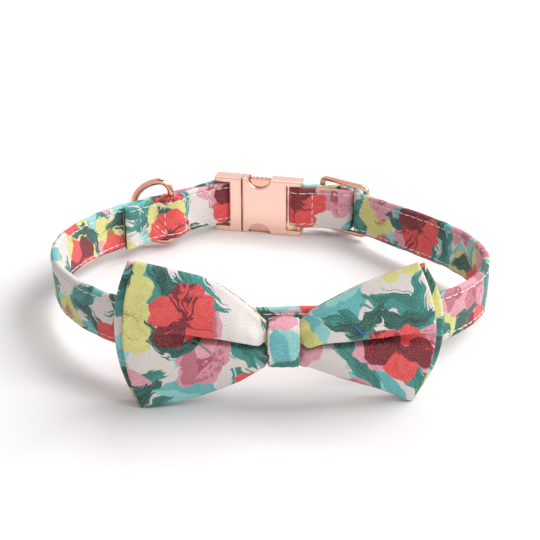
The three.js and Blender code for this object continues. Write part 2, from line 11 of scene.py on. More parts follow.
import bpy
import numpy as np
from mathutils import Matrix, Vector


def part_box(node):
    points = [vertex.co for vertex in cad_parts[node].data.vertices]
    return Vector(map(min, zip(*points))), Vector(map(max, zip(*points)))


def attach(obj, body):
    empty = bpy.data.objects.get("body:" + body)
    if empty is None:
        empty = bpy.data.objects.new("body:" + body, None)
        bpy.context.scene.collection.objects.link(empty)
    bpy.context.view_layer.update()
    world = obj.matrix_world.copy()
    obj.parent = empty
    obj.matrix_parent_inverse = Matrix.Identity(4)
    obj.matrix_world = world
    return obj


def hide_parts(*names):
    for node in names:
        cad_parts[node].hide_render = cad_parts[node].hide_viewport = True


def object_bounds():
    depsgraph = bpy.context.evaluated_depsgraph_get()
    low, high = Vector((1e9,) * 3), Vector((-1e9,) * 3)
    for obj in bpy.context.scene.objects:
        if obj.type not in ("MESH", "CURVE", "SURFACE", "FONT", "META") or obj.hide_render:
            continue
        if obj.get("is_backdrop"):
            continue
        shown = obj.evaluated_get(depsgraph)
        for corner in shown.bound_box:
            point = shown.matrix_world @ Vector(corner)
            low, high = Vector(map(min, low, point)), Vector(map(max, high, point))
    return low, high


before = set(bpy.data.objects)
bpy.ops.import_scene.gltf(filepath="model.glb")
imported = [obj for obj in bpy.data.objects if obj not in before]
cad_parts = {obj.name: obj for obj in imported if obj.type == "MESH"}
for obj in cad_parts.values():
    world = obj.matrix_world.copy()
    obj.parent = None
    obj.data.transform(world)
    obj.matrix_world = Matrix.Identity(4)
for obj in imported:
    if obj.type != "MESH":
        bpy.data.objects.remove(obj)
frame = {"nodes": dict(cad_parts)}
cad_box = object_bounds()
MM = 0.001
print("CAD nodes:", ", ".join(frame["nodes"]))

# %% [markdown]
# ## Where things are
# The sizes were worked out with x = 0 under the camera's aim. The CAD model is centred on its
# footprint, so everything shifts by the same small step in plan. The knot of the bow has a known
# place in both, and its box gives the shift.

# %% The shift from the drawing's origin to the model's
KNOT = dict(x=1.85, half=4.25, low=11.9, high=24.3, back=-50.2, front=-60.3)
knot_low, knot_high = (np.array(c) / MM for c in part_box("bow_knot"))
SHIFT = np.array([(knot_low[0] + knot_high[0]) / 2 - KNOT["x"], knot_low[1] - KNOT["front"], 0])
print("shift in mm:", SHIFT.round(3))


# %% [markdown]
# ## Camera, floor and light
# The photograph looks down on the collar from the front at about 23 degrees, with a long lens.
# The white floor runs out of the picture, so there is no horizon. A large soft light, like a
# window, stands on the right, a little behind the collar, and throws the pale shadow to the left
# and below. Two weaker lights in front and one behind brighten the faces that the window leaves
# dark, and the surround fills the rest. Shiny pieces mirror a brighter surround than matt ones
# get, and a dark card that only they see gives the metal its dark lines.

# %% Camera
STRAP_MIDDLE = 14.29  # height of the strap's middle under the camera's aim
EYE = np.array([0.0, -368.3, 170.3]) + SHIFT
AIM = np.array([0.0, 0.0, STRAP_MIDDLE]) + SHIFT
PICTURE = 540  # pixels each way
LENS_PIXELS = 1306.7  # focal length in the picture's pixels
camera_data = bpy.data.cameras.new("camera")
camera_data.sensor_width = 36.0
camera_data.lens = camera_data.sensor_width * LENS_PIXELS / PICTURE
camera_data.shift_x, camera_data.shift_y = -6.57 / PICTURE, 4.40 / PICTURE
camera_data.clip_start, camera_data.clip_end = 0.01, 20
camera = bpy.data.objects.new("camera", camera_data)
bpy.context.scene.collection.objects.link(camera)
camera.location = EYE * MM
camera.rotation_euler = Vector((AIM - EYE) * MM).to_track_quat("-Z", "Y").to_euler()
bpy.context.scene.camera = camera
bpy.context.scene.view_settings.view_transform = "Standard"


# %% Floor, surround and lights
def plain_material(name, colour, roughness):
    """One even colour, for things that are not part of the collar."""
    material = bpy.data.materials.new(name)
    material.use_nodes = True
    shader = material.node_tree.nodes["Principled BSDF"]
    shader.inputs["Base Color"].default_value = (*colour, 1)
    shader.inputs["Roughness"].default_value = roughness
    return material


def card(name, centre, size, facing, material):
    """A flat square at centre that faces a point; lengths in metres."""
    half = size / 2
    corners = np.array([[-half, -half, 0], [half, -half, 0], [half, half, 0], [-half, half, 0]])
    turn = (Vector(facing) - Vector(centre)).to_track_quat("Z", "Y").to_matrix()
    mesh = bpy.data.meshes.new(name)
    placed = corners @ np.array(turn).T + np.array(centre)
    mesh.from_pydata(placed.tolist(), [], [(0, 1, 2, 3)])
    mesh.materials.append(material)
    made = bpy.data.objects.new(name, mesh)
    bpy.context.scene.collection.objects.link(made)
    made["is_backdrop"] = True
    return made


card("floor", (0, 0, 0), 8.0, (0, 0, 1), plain_material("floor", (0.86, 0.86, 0.87), 0.9))
shade = card("shade_card", (0.0, -0.35, 1.1), 0.8, (0, 0, 0),
             plain_material("shade", (0.06, 0.05, 0.05), 1.0))
for seen_by in ("camera", "diffuse", "shadow", "transmission", "volume_scatter"):
    setattr(shade, "visible_" + seen_by, False)

world = bpy.data.worlds.new("surround")
world.use_nodes = True
surround = world.node_tree.nodes["Background"]
surround.inputs["Color"].default_value = (1.0, 0.945, 0.91, 1)
# matt things get a little light from the surround; the camera and shiny things see it bright
LIT, SEEN = 0.35, 0.72
nodes, links = world.node_tree.nodes, world.node_tree.links
ray = nodes.new("ShaderNodeLightPath")
seen = nodes.new("ShaderNodeMath")
seen.operation = "MAXIMUM"
brightness = nodes.new("ShaderNodeMapRange")
brightness.inputs["To Min"].default_value = LIT
brightness.inputs["To Max"].default_value = SEEN
links.new(ray.outputs["Is Glossy Ray"], seen.inputs[0])
links.new(ray.outputs["Is Camera Ray"], seen.inputs[1])
links.new(seen.outputs["Value"], brightness.inputs["Value"])
links.new(brightness.outputs["Result"], surround.inputs["Strength"])
bpy.context.scene.world = world


def soft_light(name, place, size, power, colour=(1, 1, 1)):
    """A square area light at place, in metres, that faces the collar."""
    data = bpy.data.lights.new(name, "AREA")
    data.shape, data.size, data.energy, data.color = "SQUARE", size, power, colour
    light = bpy.data.objects.new(name, data)
    bpy.context.scene.collection.objects.link(light)
    light.location = place
    light.rotation_euler = (-Vector(place)).to_track_quat("-Z", "Y").to_euler()


def around(bearing, height, distance=2.2):
    """A place at a bearing and a height, both in degrees, and a distance from the collar."""
    b, h = math.radians(bearing), math.radians(height)
    return (distance * math.cos(h) * math.cos(b), distance * math.cos(h) * math.sin(b),
            distance * math.sin(h))


soft_light("window", around(20, 46), 1.6, 41.0, (1.0, 0.99, 0.985))
soft_light("front_right", around(-40, 48), 0.8, 12.0)
soft_light("front_left", around(-75, 30), 0.8, 8.0)
soft_light("behind", around(80, 50), 0.8, 10.0)


# %% [markdown]
# ## Meshes from grids of points
# Almost every piece here is a surface of two parameters: rows of points along it and columns
# across it. One function joins neighbouring points into four-cornered faces, another puts them
# into a mesh, with a cloth map that holds how far each point lies along and across the flat
# cloth, in centimetres. A closed skin must face outwards, and its signed volume tells.

# %% Grids and skins
def grid_faces(rows, cols, round_rows=False, round_cols=False):
    """Corner numbers of the faces between neighbouring rows and columns; round ones close."""
    i = np.arange(rows if round_rows else rows - 1)[:, None]
    k = np.arange(cols if round_cols else cols - 1)[None, :]
    i2, k2 = (i + 1) % rows, (k + 1) % cols
    corners = [i * cols + k, i * cols + k2, i2 * cols + k2, i2 * cols + k]
    return np.stack([np.broadcast_to(c, (i.size, k.size)) for c in corners], -1).reshape(-1, 4)


def grid_map(u, v):
    """The cloth map of a grid's faces: u per row and v per column, each one longer when round."""
    flat = np.stack(np.broadcast_arrays(u, v), -1)
    corners = [flat[:-1, :-1], flat[:-1, 1:], flat[1:, 1:], flat[1:, :-1]]
    return np.stack(corners, 2).reshape(-1, 4, 2)


def outward(points, faces):
    """True if the faces of a closed skin turn outwards: six times the volume inside is over 0."""
    p = points[faces]
    total = 0.0
    for k in range(1, faces.shape[1] - 1):
        total += (p[:, 0] * np.cross(p[:, k], p[:, k + 1])).sum()
    return total > 0


def end_caps(rows, cols):
    """Two caps, as lists of corner numbers, that close the first and the last row of a tube."""
    return [list(range(cols))[::-1], list(range((rows - 1) * cols, rows * cols))]


def skin(name, points, faces, cloth_map, caps, material):
    """A mesh object from points in millimetres, four-cornered faces and flat end caps."""
    points, faces = np.asarray(points, float), np.asarray(faces)
    turned = not outward(points, faces)
    if turned:
        faces = faces[:, ::-1]
        caps = [list(c)[::-1] for c in caps]
    mesh = bpy.data.meshes.new(name)
    mesh.from_pydata((points * MM).tolist(), [], faces.tolist() + [list(c) for c in caps])
    if cloth_map is not None:
        corners = (cloth_map[:, ::-1] if turned else cloth_map).reshape(-1, 2)
        spare = len(mesh.loops) - len(corners)
        corners = np.vstack([corners, np.repeat(corners[-1:], spare, 0)])
        mesh.uv_layers.new(name="cloth").uv.foreach_set("vector", corners.ravel())
    mesh.polygons.foreach_set("use_smooth", np.full(len(mesh.polygons), True))
    mesh.update()
    mesh.materials.append(material)
    made = bpy.data.objects.new(name, mesh)
    bpy.context.scene.collection.objects.link(made)
    triangles = sum(len(p.vertices) - 2 for p in mesh.polygons)
    print(f"{name}: {len(points)} points, {triangles} triangles")
    return made


# %% [markdown]
# ## Writing shader sums as sums
# A pattern is a sum of many small steps. One class wraps a socket, and its operators add the
# Math or Vector Math node that they stand for, so a formula reads like a formula. Any other
# node comes from one method that takes its type, its settings and its inputs.

# %% The wire class
class Wire:
    """A number, vector or colour on its way through a material."""

    def __init__(self, socket):
        self.socket = socket
        self.tree = socket.id_data

    def node(self, kind, settings=None, inputs=None):
        """Adds a node: settings first, then values or wires; gives its outputs by name."""
        made = self.tree.nodes.new(kind)
        for name, value in (settings or {}).items():
            setattr(made, name, value)
        for name, value in (inputs or {}).items():
            if isinstance(value, Wire):
                self.tree.links.new(value.socket, made.inputs[name])
            else:
                made.inputs[name].default_value = value
        return {out.name: Wire(out) for out in made.outputs if out.enabled}

    def sum_with(self, operation, other, swapped=False):
        """This and another value through a Math node, or a Vector Math node for vectors."""
        a, b = (other, self) if swapped else (self, other)
        if self.socket.type in ("VECTOR", "RGBA"):
            if operation == "MULTIPLY":
                return self.node("ShaderNodeVectorMath", {"operation": "SCALE"},
                                 {0: self, "Scale": other})["Vector"]
            return self.node("ShaderNodeVectorMath", {"operation": operation},
                             {0: a, 1: b})["Vector"]
        return self.node("ShaderNodeMath", {"operation": operation}, {0: a, 1: b})["Value"]

    def __add__(self, other): return self.sum_with("ADD", other)
    def __radd__(self, other): return self.sum_with("ADD", other, True)
    def __sub__(self, other): return self.sum_with("SUBTRACT", other)
    def __rsub__(self, other): return self.sum_with("SUBTRACT", other, True)
    def __mul__(self, other): return self.sum_with("MULTIPLY", other)
    def __rmul__(self, other): return self.sum_with("MULTIPLY", other)
    def __truediv__(self, other): return self.sum_with("DIVIDE", other)
    def __pow__(self, other): return self.sum_with("POWER", other)
    def over(self, other): return self.sum_with("GREATER_THAN", other)
    def most(self, other): return self.sum_with("MAXIMUM", other)

    def of(self, operation):
        """A sum of one value, such as its sine or its size without sign."""
        return self.node("ShaderNodeMath", {"operation": operation}, {0: self})["Value"]

    def unit(self):
        """The value, held between 0 and 1."""
        return self.node("ShaderNodeClamp", {}, {"Value": self})["Result"]

    def parts(self):
        """The three numbers of a vector."""
        out = self.node("ShaderNodeSeparateXYZ", {}, {"Vector": self})
        return out["X"], out["Y"], out["Z"]

    def between(self, a, b):
        """The colour a where this is 0 and b where it is 1."""
        return self.node("ShaderNodeMix", {"data_type": "RGBA"}, {0: self, 6: a, 7: b})["Result"]

    def joined(self, other):
        """A vector with this and another value as its first two numbers."""
        return self.node("ShaderNodeCombineXYZ", {}, {"X": self, "Y": other})["Vector"]

    def noise(self, scale, detail=2.0, output="Fac"):
        """Cloudy noise on this vector, with so many clouds to the centimetre."""
        return self.node("ShaderNodeTexNoise", {"noise_dimensions": "2D"},
                         {"Vector": self, "Scale": scale, "Detail": detail})[output]


def colour(code):
    """A colour code of six hexadecimal digits as linear light, for a shader."""
    values = [int(code[i:i + 2], 16) / 255 for i in (0, 2, 4)]
    linear = [v / 12.92 if v <= 0.04045 else ((v + 0.055) / 1.055) ** 2.4 for v in values]
    return (*linear, 1)


def new_finish(name):
    """An empty material with its shader; gives the material and the shader's node."""
    material = bpy.data.materials.new(name)
    material.use_nodes = True
    return material, material.node_tree.nodes["Principled BSDF"]


# %% [markdown]
# ## The printed cotton
# The cloth is a plain cotton, printed as if painted in gouache: loose flowers in coral, pink and
# pale yellow between teal and aqua leaves, on an off-white ground. The motifs here are the
# lesson's own. Each kind is scattered by a cell pattern: the nearest cell point is the middle of
# a flower, the angle and distance to it give the edge of its petals, and the cell's own random
# numbers turn it, size it or leave it out. Noise bends the map first, so that edges look brushed.

# %% Motifs of the print
TURN = 2 * math.pi


def scattered(at, spacing, shift, chance):
    """Motifs over the map: distance and angle from the nearest motif's middle, along and across
    it, its own random numbers, and 1 where it is kept. One in chance is kept."""
    moved = at + (*shift, 0)
    cells = at.node("ShaderNodeTexVoronoi", {"voronoi_dimensions": "2D"},
                    {"Vector": moved, "Scale": 1 / spacing, "Randomness": 0.62})
    local = moved - cells["Position"]
    x, y, _ = local.parts()
    rolls = at.node("ShaderNodeSeparateColor", {}, {"Color": cells["Color"]})
    away = at.node("ShaderNodeVectorMath", {"operation": "LENGTH"}, {0: local})["Value"]
    angle = y.sum_with("ARCTAN2", x) + rolls["Red"] * TURN
    kept = (1 - rolls["Blue"]).over(1 - chance)
    return away, angle, away * angle.of("COSINE"), away * angle.of("SINE"), rolls, kept


def petals(away, angle, count, size, depth, roundness=0.5):
    """How far inside a flower's edge: the edge is size, less depth between count petals."""
    wave = (angle * (count / 2)).of("COSINE").of("ABSOLUTE") ** roundness
    return (wave * depth + (1 - depth)) * size - away


def petal_roll(angle, count, rolls):
    """A random number from 0 to 1 for each petal of each flower."""
    number = (angle * (count / TURN) + 0.5).of("FLOOR").sum_with("FLOORED_MODULO", count)
    return ((number * 1.37 + rolls["Green"] * 7.1).of("SINE") * 43.7).of("FRACT")


def lens(along, across, long, wide, bend=0.25):
    """How far inside a pointed leaf: its width falls as 1 - (along / long)^2, and it bends."""
    rib = across - along * along * bend
    return (1 - (along / long) ** 2.0) * wide - rib.of("ABSOLUTE"), rib


def brush_streaks(along, rib, rolls):
    """Streaks that a dry brush leaves along a leaf: noise drawn out lengthwise."""
    return (along * 0.7 + rolls["Green"] * 9.0).joined(rib * 4.6).noise(2.4, 2.0)


def edge(inside, sharpness=34.0):
    """1 inside a motif and 0 outside, with an edge a third of a millimetre wide."""
    return (inside * sharpness + 0.5).unit()


def printed(at, shift):
    """The colour of the print at a place of the cloth map."""
    at = at + (*shift, 0)
    soft, fine, grain = at.noise(1.4, 2.0), at.noise(7.0, 3.0), at.noise(30.0, 2.0)
    bent = at + (at.noise(1.9, 1.0, "Color") - (0.5, 0.5, 0.5)) * 0.42
    wash = (soft * 1.2 + fine * 0.9 - 0.55).unit()
    picture = soft.between(colour("e6dedb"), colour("f0eae6"))

    def paint(picture, mask, paint_colour):
        return mask.between(picture, paint_colour)

    # broad aqua leaves, half of each in a deeper tone
    _, _, p, q, rolls, kept = scattered(bent, 1.75, (3.1, 7.7), 0.85)
    inside, rib = lens(p, q, 1.1, 0.48)
    tone = edge(rib, 20).between(wash.between(colour("58b8bd"), colour("7accce")),
                                 colour("9adfdc"))
    picture = paint(picture, edge(inside) * kept, tone)
    # teal leaves, painted with a dry brush, with a pale rib
    for move, spacing, size, chance in (((9.4, 2.2), 1.9, (1.05, 0.34), 0.95),
                                        ((2.7, 4.9), 2.2, (1.15, 0.27), 0.9)):
        _, _, p, q, rolls, kept = scattered(bent, spacing, move, chance)
        inside, rib = lens(p, q, *size, 0.3)
        streak = brush_streaks(p, rib, rolls)
        wet = ((streak - 0.5) * 3.4 + edge(rib, 6) * 0.9).unit()
        tone = wet.between(colour("2b7c72"), colour("409a90"))
        picture = paint(picture, edge(inside + (streak - 0.5) * 0.5) * kept, tone)

    # pale yellow flowers: tan stipple in part of a ring, and a brown dab beside the middle
    away, angle, p, q, rolls, kept = scattered(bent, 2.2, (1.2, 4.4), 0.70)
    bloom = wash.between(colour("d9d87f"), colour("eeed9c"))
    ring = 0.30 - (away - 0.33).of("ABSOLUTE") * 1.6 + (angle + 1.0).of("SINE") * 0.14
    bloom = edge(ring + at.noise(26.0, 1.0) - 0.80, 30).between(bloom, colour("bb8442"))
    spot = 0.17 - away.node("ShaderNodeVectorMath", {"operation": "DISTANCE"}, {
        0: p.joined(q), 1: (0.22, 0.10, 0)})["Value"] + (fine - 0.5) * 0.35
    bloom = edge(spot).between(bloom, colour("b5793c"))
    picture = paint(picture, edge(petals(away, angle, 6, 0.88, 0.20, 0.7)) * kept, bloom)

    # pink flowers, some petals in dusty rose, with a ring round the middle
    away, angle, p, q, rolls, kept = scattered(bent, 2.05, (6.6, 8.8), 0.66)
    bloom = wash.between(colour("df91a4"), colour("f0b4c1"))
    dusty = edge(petal_roll(angle, 5, rolls) - 0.62 + (fine - 0.5) * 0.7, 12)
    bloom = (dusty * edge(0.62 - away)).between(bloom, colour("c87686"))
    bloom = edge(0.055 - (away - 0.15).of("ABSOLUTE")).between(bloom, colour("b4596a"))
    picture = paint(picture, edge(petals(away, angle, 5, 0.76, 0.30)) * kept, bloom)

    # dark leaves between the flowers
    _, _, p, q, rolls, kept = scattered(bent, 2.05, (5.3, 5.9), 0.82)
    inside, rib = lens(p, q, 1.0, 0.27, 0.5)
    streak = brush_streaks(p, rib, rolls)
    tone = ((streak - 0.5) * 3.4 + 0.35).unit().between(colour("1f4f49"), colour("30766c"))
    picture = paint(picture, edge(inside + (streak - 0.5) * 0.5) * kept, tone)

    # coral flowers: some petals in maroon shadow, strokes run out from the middle
    away, angle, p, q, rolls, kept = scattered(bent, 2.9, (8.1, 0.9), 0.84)
    stroke = (angle * 2.4).joined(away * 1.1).noise(2.6, 3.0)
    bloom = stroke.between(colour("e2343c"), colour("fb6a66"))
    shadow = petal_roll(angle, 5, rolls) - 0.60 + (stroke - 0.5) * 0.7
    gap = (angle * 2.5).of("COSINE").of("ABSOLUTE") * away
    heart = (0.15 - away) + (stroke - 0.45) * 0.5
    dark = edge(shadow, 12).most(edge(0.07 - gap - away * 0.06)).most(edge(heart))
    bloom = dark.between(bloom, wash.between(colour("701322"), colour("8f1f30")))
    picture = paint(picture, edge(petals(away, angle, 5, 0.98, 0.26)) * kept, bloom)

    # the ink sits unevenly on the threads, and bare yarn shows where they cross
    thread = at.noise(60.0, 1.0)
    bare = ((thread - 0.54) * 3.4 + (grain - 0.5) * 1.2).unit() * 0.34
    picture = bare.between(picture, colour("ece6e3"))
    dark = ((grain - 0.5) * 1.4 + (thread - 0.5) * 1.2 + 0.66).unit()
    return at.node("ShaderNodeMix", {"data_type": "RGBA", "blend_type": "MULTIPLY"},
                   {0: 0.7, 6: picture, 7: dark.between(colour("b2adad"),
                                                        colour("ffffff"))})["Result"]


# %% [markdown]
# Cotton has no gloss. Its threads are about a third of a millimetre apart and cross over and
# under each other, which a bump gives: two waves multiplied, with noise for the uneven yarn.
# Each piece is cut from another place of the cloth, so each gets its own shift of the print.

# %% Printed cotton and thread
THREAD_PITCH = 0.042  # centimetres


def cotton(name, shift):
    """Printed cotton, cut from its own place of the cloth."""
    material, shader = new_finish(name)
    at = Wire(shader.inputs["Base Color"]).node("ShaderNodeUVMap", {"uv_map": "cloth"})["UV"]
    x, y, _ = at.parts()
    weave = (x * (TURN / THREAD_PITCH)).of("SINE") * (y * (TURN / THREAD_PITCH)).of("SINE")
    height = 0.35 * weave + at.noise(34.0, 3.0)
    bump = at.node("ShaderNodeBump", {}, {"Height": height, "Strength": 0.30,
                                          "Distance": 0.00012})["Normal"]
    links = material.node_tree.links
    links.new(printed(at, shift).socket, shader.inputs["Base Color"])
    links.new(bump.socket, shader.inputs["Normal"])
    shader.inputs["Roughness"].default_value = 0.88
    shader.inputs["Specular IOR Level"].default_value = 0.25
    shader.inputs["Sheen Weight"].default_value = 0.12
    return material


def yarn(name, code):
    """Twisted sewing thread: one colour, patchy in tone, with a fine uneven bump."""
    material, shader = new_finish(name)
    wire = Wire(shader.inputs["Base Color"])
    at = wire.node("ShaderNodeTexCoord")["Object"]
    cloud = wire.node("ShaderNodeTexNoise", {}, {"Vector": at, "Scale": 4000.0})["Fac"]
    tone = cloud.between(tuple(0.8 * v for v in colour(code)[:3]) + (1,), colour(code))
    bump = wire.node("ShaderNodeBump", {}, {"Height": cloud, "Strength": 0.4,
                                            "Distance": 0.00005})["Normal"]
    material.node_tree.links.new(tone.socket, shader.inputs["Base Color"])
    material.node_tree.links.new(bump.socket, shader.inputs["Normal"])
    shader.inputs["Roughness"].default_value = 0.7
    return material


strap_cotton = cotton("strap_cotton", (0.0, 0.0))
front_cotton = cotton("bow_front_cotton", (36.6, 29.6))
back_cotton = cotton("bow_back_cotton", (15.7, 22.1))
knot_cotton = cotton("knot_cotton", (49.6, 26.1))
white_thread = yarn("white_thread", "f4f1ec")
print("finishes so far:", [m.name for m in bpy.data.materials])


# %% [markdown]
# ## The strap's line
# The strap is one long band. It starts as the inner layer with a folded hem, runs to the buckle's
# tongue, turns round its bar and comes back outside as the neck ring. It then passes the slider,
# turns round the housing's bar and ends in a loop round the slider's middle bar. In plan it is
# one line: smooth curves through tabled points, joined by arcs round the bars.

# %% Tables and small helpers for the line
STRAP = dict(width=15.0, thick=2.2, hem=3.0, hem_long=5)
RISE = dict(slope=2.96, front=10, reach=36, lift=0.55, centre=12)
GAP = 0.3
BUCKLE_AT = dict(x=-6.1, y=74.7, turn=-12.9, post=14.5, radius=1.15)
SLIDER_AT = dict(x=24.0, y=69.4, turn=-38.0, bar=2.2)
RING = dict(x=-36.6, y=60.35, half=10.95, depth=13.5, wire=1.15, upper_corner=3.8,
            lower_corner=2.4, fullness=2.4, above=1.5, points=176.0)
NECK_LINE = np.array([
    # x, y from the slider round the front to the tongue
    [38.0, 51.5], [42.4, 45.9], [46.2, 41.0], [50.4, 35.4], [54.6, 28.6], [58.3, 21.6],
    [61.0, 14.8], [62.7, 7.4], [63.4, -0.4], [62.4, -8.6], [60.4, -15.2], [57.3, -21.3],
    [51.4, -29.7], [43.8, -36.8], [35.1, -41.9], [25.9, -44.9], [16.8, -46.2], [8.2, -46.7],
    [0.0, -46.9], [-8.3, -47.2], [-17.2, -47.2], [-26.6, -46.0], [-35.9, -42.8],
    [-44.6, -37.4], [-52.2, -30.1], [-58.7, -21.4], [-63.9, -11.3], [-67.2, 0.0],
    [-67.9, 12.0], [-65.7, 23.9], [-60.9, 35.6], [-56.2, 43.6], [-51.9, 49.0],
    [-46.3, 54.6], [-39.6, 61.1], [-33.0, 67.4],
])
# the outer layer leaves the tongue's bar at a bearing; the inner one runs between two lengths
LAYERS = dict(leaves=133.8, beside=[-24.9, 75.7], inner=(4.0, 44.4), swell=8.0, opens=8.0)
# bearings at which the band meets and leaves the housing's bar and the slider's middle bar
WRAPS = dict(housing=(90, 272), slider=(260.7, 486.7))
INTO_SLIDER = np.array([[12.4, -2.9], [9.4, -2.45]])  # s and t of the slider
WEAVE = np.array([[7.2, -1.85], [5.7, 0.0], [4.4, 2.4], [2.5, 4.4], [0, 5.05], [-2.5, 4.4],
                  [-4.4, 2.4], [-5.7, 0.0], [-7.2, -1.85], [-9.4, -2.45]])
TO_HOUSING, FROM_HOUSING = [[11.8, 73.3]], [[12.0, 69.2], [17.2, 68.4]]  # x and y
LEAN = np.array([
    # bearing, how far the strap's upper edge leans outwards there, both in degrees
    [0, 0.2], [35, 1.2], [52, 1.0], [66, 0], [110, 0], [122, 2.8], [150, 4.0], [180, 3.4],
    [210, 2.7], [240, 1.9], [270, 1.2], [300, 0.2], [330, -0.2], [360, 0.2],
])


def in_plan(at, s, t):
    """Points of the drawing from a turned piece's own s, along it, and t, outwards."""
    a = math.radians(at["turn"])
    return np.stack([at["x"] + s * np.cos(a) - t * np.sin(a),
                     at["y"] + s * np.sin(a) + t * np.cos(a)], -1)


def arc(centre, radius, start, end, count):
    """Points on an arc from one bearing to another."""
    a = np.radians(np.linspace(start, end, count + 1))
    return np.asarray(centre) + radius * np.stack([np.cos(a), np.sin(a)], -1)


def run_length(line):
    """The length along a line at each of its points."""
    return np.concatenate([[0], np.cumsum(np.linalg.norm(np.diff(line, axis=0), axis=1))])


def spaced(line, step):
    """The same line with points an even step apart."""
    at = run_length(line)
    even = np.linspace(0, at[-1], max(3, round(at[-1] / step) + 1))
    return np.stack([np.interp(even, at, line[:, k]) for k in range(line.shape[1])], -1)


def smooth_line(points, step):
    """A curve through points: between two of them a cubic whose slopes also weigh the points
    before and after, by the square root of their distances. It is cut at an even step."""
    p = np.asarray(points, float)
    p = np.vstack([2 * p[:1] - p[1:2], p, 2 * p[-1:] - p[-2:-1]])
    d = np.sqrt(np.linalg.norm(np.diff(p, axis=0), axis=1))[:, None]
    x0, x1, x2, x3 = p[:-3], p[1:-2], p[2:-1], p[3:]
    d0, d1, d2 = d[:-2], d[1:-1], d[2:]
    start = ((x1 - x0) / d0 - (x2 - x0) / (d0 + d1) + (x2 - x1) / d1) * d1
    end = ((x2 - x1) / d1 - (x3 - x1) / (d1 + d2) + (x3 - x2) / d2) * d1
    w = np.linspace(0, 1, 40, endpoint=False)[:, None, None]
    c2, c3 = 3 * (x2 - x1) - 2 * start - end, 2 * (x1 - x2) + start + end
    curve = (x1 + w * (start + w * (c2 + w * c3))).transpose(1, 0, 2).reshape(-1, p.shape[1])
    return spaced(np.vstack([curve, x2[-1:]]), step)


# %% [markdown]
# The inner layer keeps a layer's distance from the outer one. It swells over the D-ring's bar and
# opens towards the tongue's bar, so its distance is a sum of three terms along the line.

# %% The whole line in plan
def strap_line(step):
    """The strap's middle in plan, from the hem to its end in the slider."""
    wrap, apart = STRAP["thick"] / 2 + GAP, STRAP["thick"] + GAP
    tongue, housing = (in_plan(BUCKLE_AT, s * BUCKLE_AT["post"], 0) for s in (-1, 1))
    around = BUCKLE_AT["radius"] + wrap
    tongue_wrap = arc(tongue, around, LAYERS["leaves"] - 180, LAYERS["leaves"], 24)
    neck = np.vstack([tongue_wrap[-1:], [LAYERS["beside"]], NECK_LINE[::-1]])
    outer = smooth_line(np.vstack([neck, in_plan(SLIDER_AT, *INTO_SLIDER.T)]), 1.2)
    # the inner layer
    fine = smooth_line(neck[:9], 0.8)
    along = np.gradient(fine, axis=0)
    along /= np.linalg.norm(along, axis=1)[:, None]
    inwards = np.stack([-along[:, 1], along[:, 0]], -1)
    length = run_length(fine)
    before = ((np.array([RING["x"], RING["y"]]) - fine) * along).sum(1)
    swell = np.cos(np.pi / 2 * np.clip(before / LAYERS["swell"], -1, 1)) ** 2
    open_up = np.clip(1 - length / LAYERS["opens"], 0, 1) ** 2
    off = apart + swell * (2 * RING["wire"] + GAP) + open_up * (2 * around - apart)
    start, end = LAYERS["inner"]
    inner = (fine + inwards * off[:, None])[(length > start) & (length < end)][::-1]
    # the slider, the housing's bar, and the loop round the slider's middle bar
    housing_wrap = arc(housing, around, *WRAPS["housing"], 24)
    eye = arc(in_plan(SLIDER_AT, 0, 0), SLIDER_AT["bar"] / 2 + wrap, *WRAPS["slider"], 30)
    through = smooth_line(np.vstack([outer[-1:], in_plan(SLIDER_AT, *WEAVE.T), TO_HOUSING,
                                     housing_wrap[:1]]), 0.6)
    back = smooth_line(np.vstack([housing_wrap[-1:], FROM_HOUSING, eye[:1]]), 0.8)
    whole = np.vstack([inner, tongue_wrap, outer[1:], through[1:], housing_wrap[1:], back[1:],
                       eye[1:]])
    return spaced(whole, step)


def strap_frame(line):
    """At each point of the line: the middle in space, the outward side and the band's own up."""
    x, y = line.T
    lift = RISE["lift"] * np.clip((-y - RISE["front"]) / RISE["reach"], 0, 1) ** 2
    slope = math.sin(math.radians(RISE["slope"]))
    middle = np.stack([x, y, STRAP_MIDDLE - y * slope + lift], -1)
    along = np.gradient(line, axis=0)
    along /= np.linalg.norm(along, axis=1)[:, None]
    side = np.stack([-along[:, 1], along[:, 0], np.zeros(len(x))], -1)
    lean = np.radians(np.interp(np.degrees(np.arctan2(y, x)) % 360, *LEAN.T))
    from_centre = np.stack([x, y - RISE["centre"]], -1)
    from_centre /= np.linalg.norm(from_centre, axis=1)[:, None]
    up = np.column_stack([np.sin(lean)[:, None] * from_centre, np.cos(lean)])
    return middle, side, up


LINE = strap_line(0.65)
AT = run_length(LINE)
MIDDLE, SIDE, UP = strap_frame(LINE)
print(f"the strap is {AT[-1]:.0f} mm long, with {len(LINE)} stations")


# %% [markdown]
# ## The strap
# Across, the band is a flat tube of cotton with round edges. A row of stitches near each edge
# pulls the cloth in, so the face has a shallow groove there that deepens at every stitch, and the
# edge outside it is slightly wavy. The section is carried along the line: height across the
# band goes with the band's own up, thickness with its side.

# %% Build the strap
STITCH = dict(pitch=3.1, long=2.75, from_edge=1.75, radius=0.17)
ROW = STRAP["width"] / 2 - STITCH["from_edge"]  # height of the edge seams across the band
CLOTH = dict(round_edge=0.85, groove=0.27, groove_wide=0.45, crown=0.15, sink=0.05, wave=0.20,
             sway=0.10)
END_STEPS = [(0.36, 0.92, 0.4), (0.72, 0.66, 0.8), (0.96, 0.25, 1.1)]  # reach, size, length


def wander(at, seed, pitch):
    """A slow random wave between -1 and 1 along a length, the same on every run."""
    rolls = np.random.default_rng(seed).uniform(-1, 1, int(at.max() / pitch) + 4)
    place = at / pitch
    first = place.astype(int)
    share = place - first
    share = share * share * (3 - 2 * share)
    return rolls[first] * (1 - share) + rolls[first + 1] * share


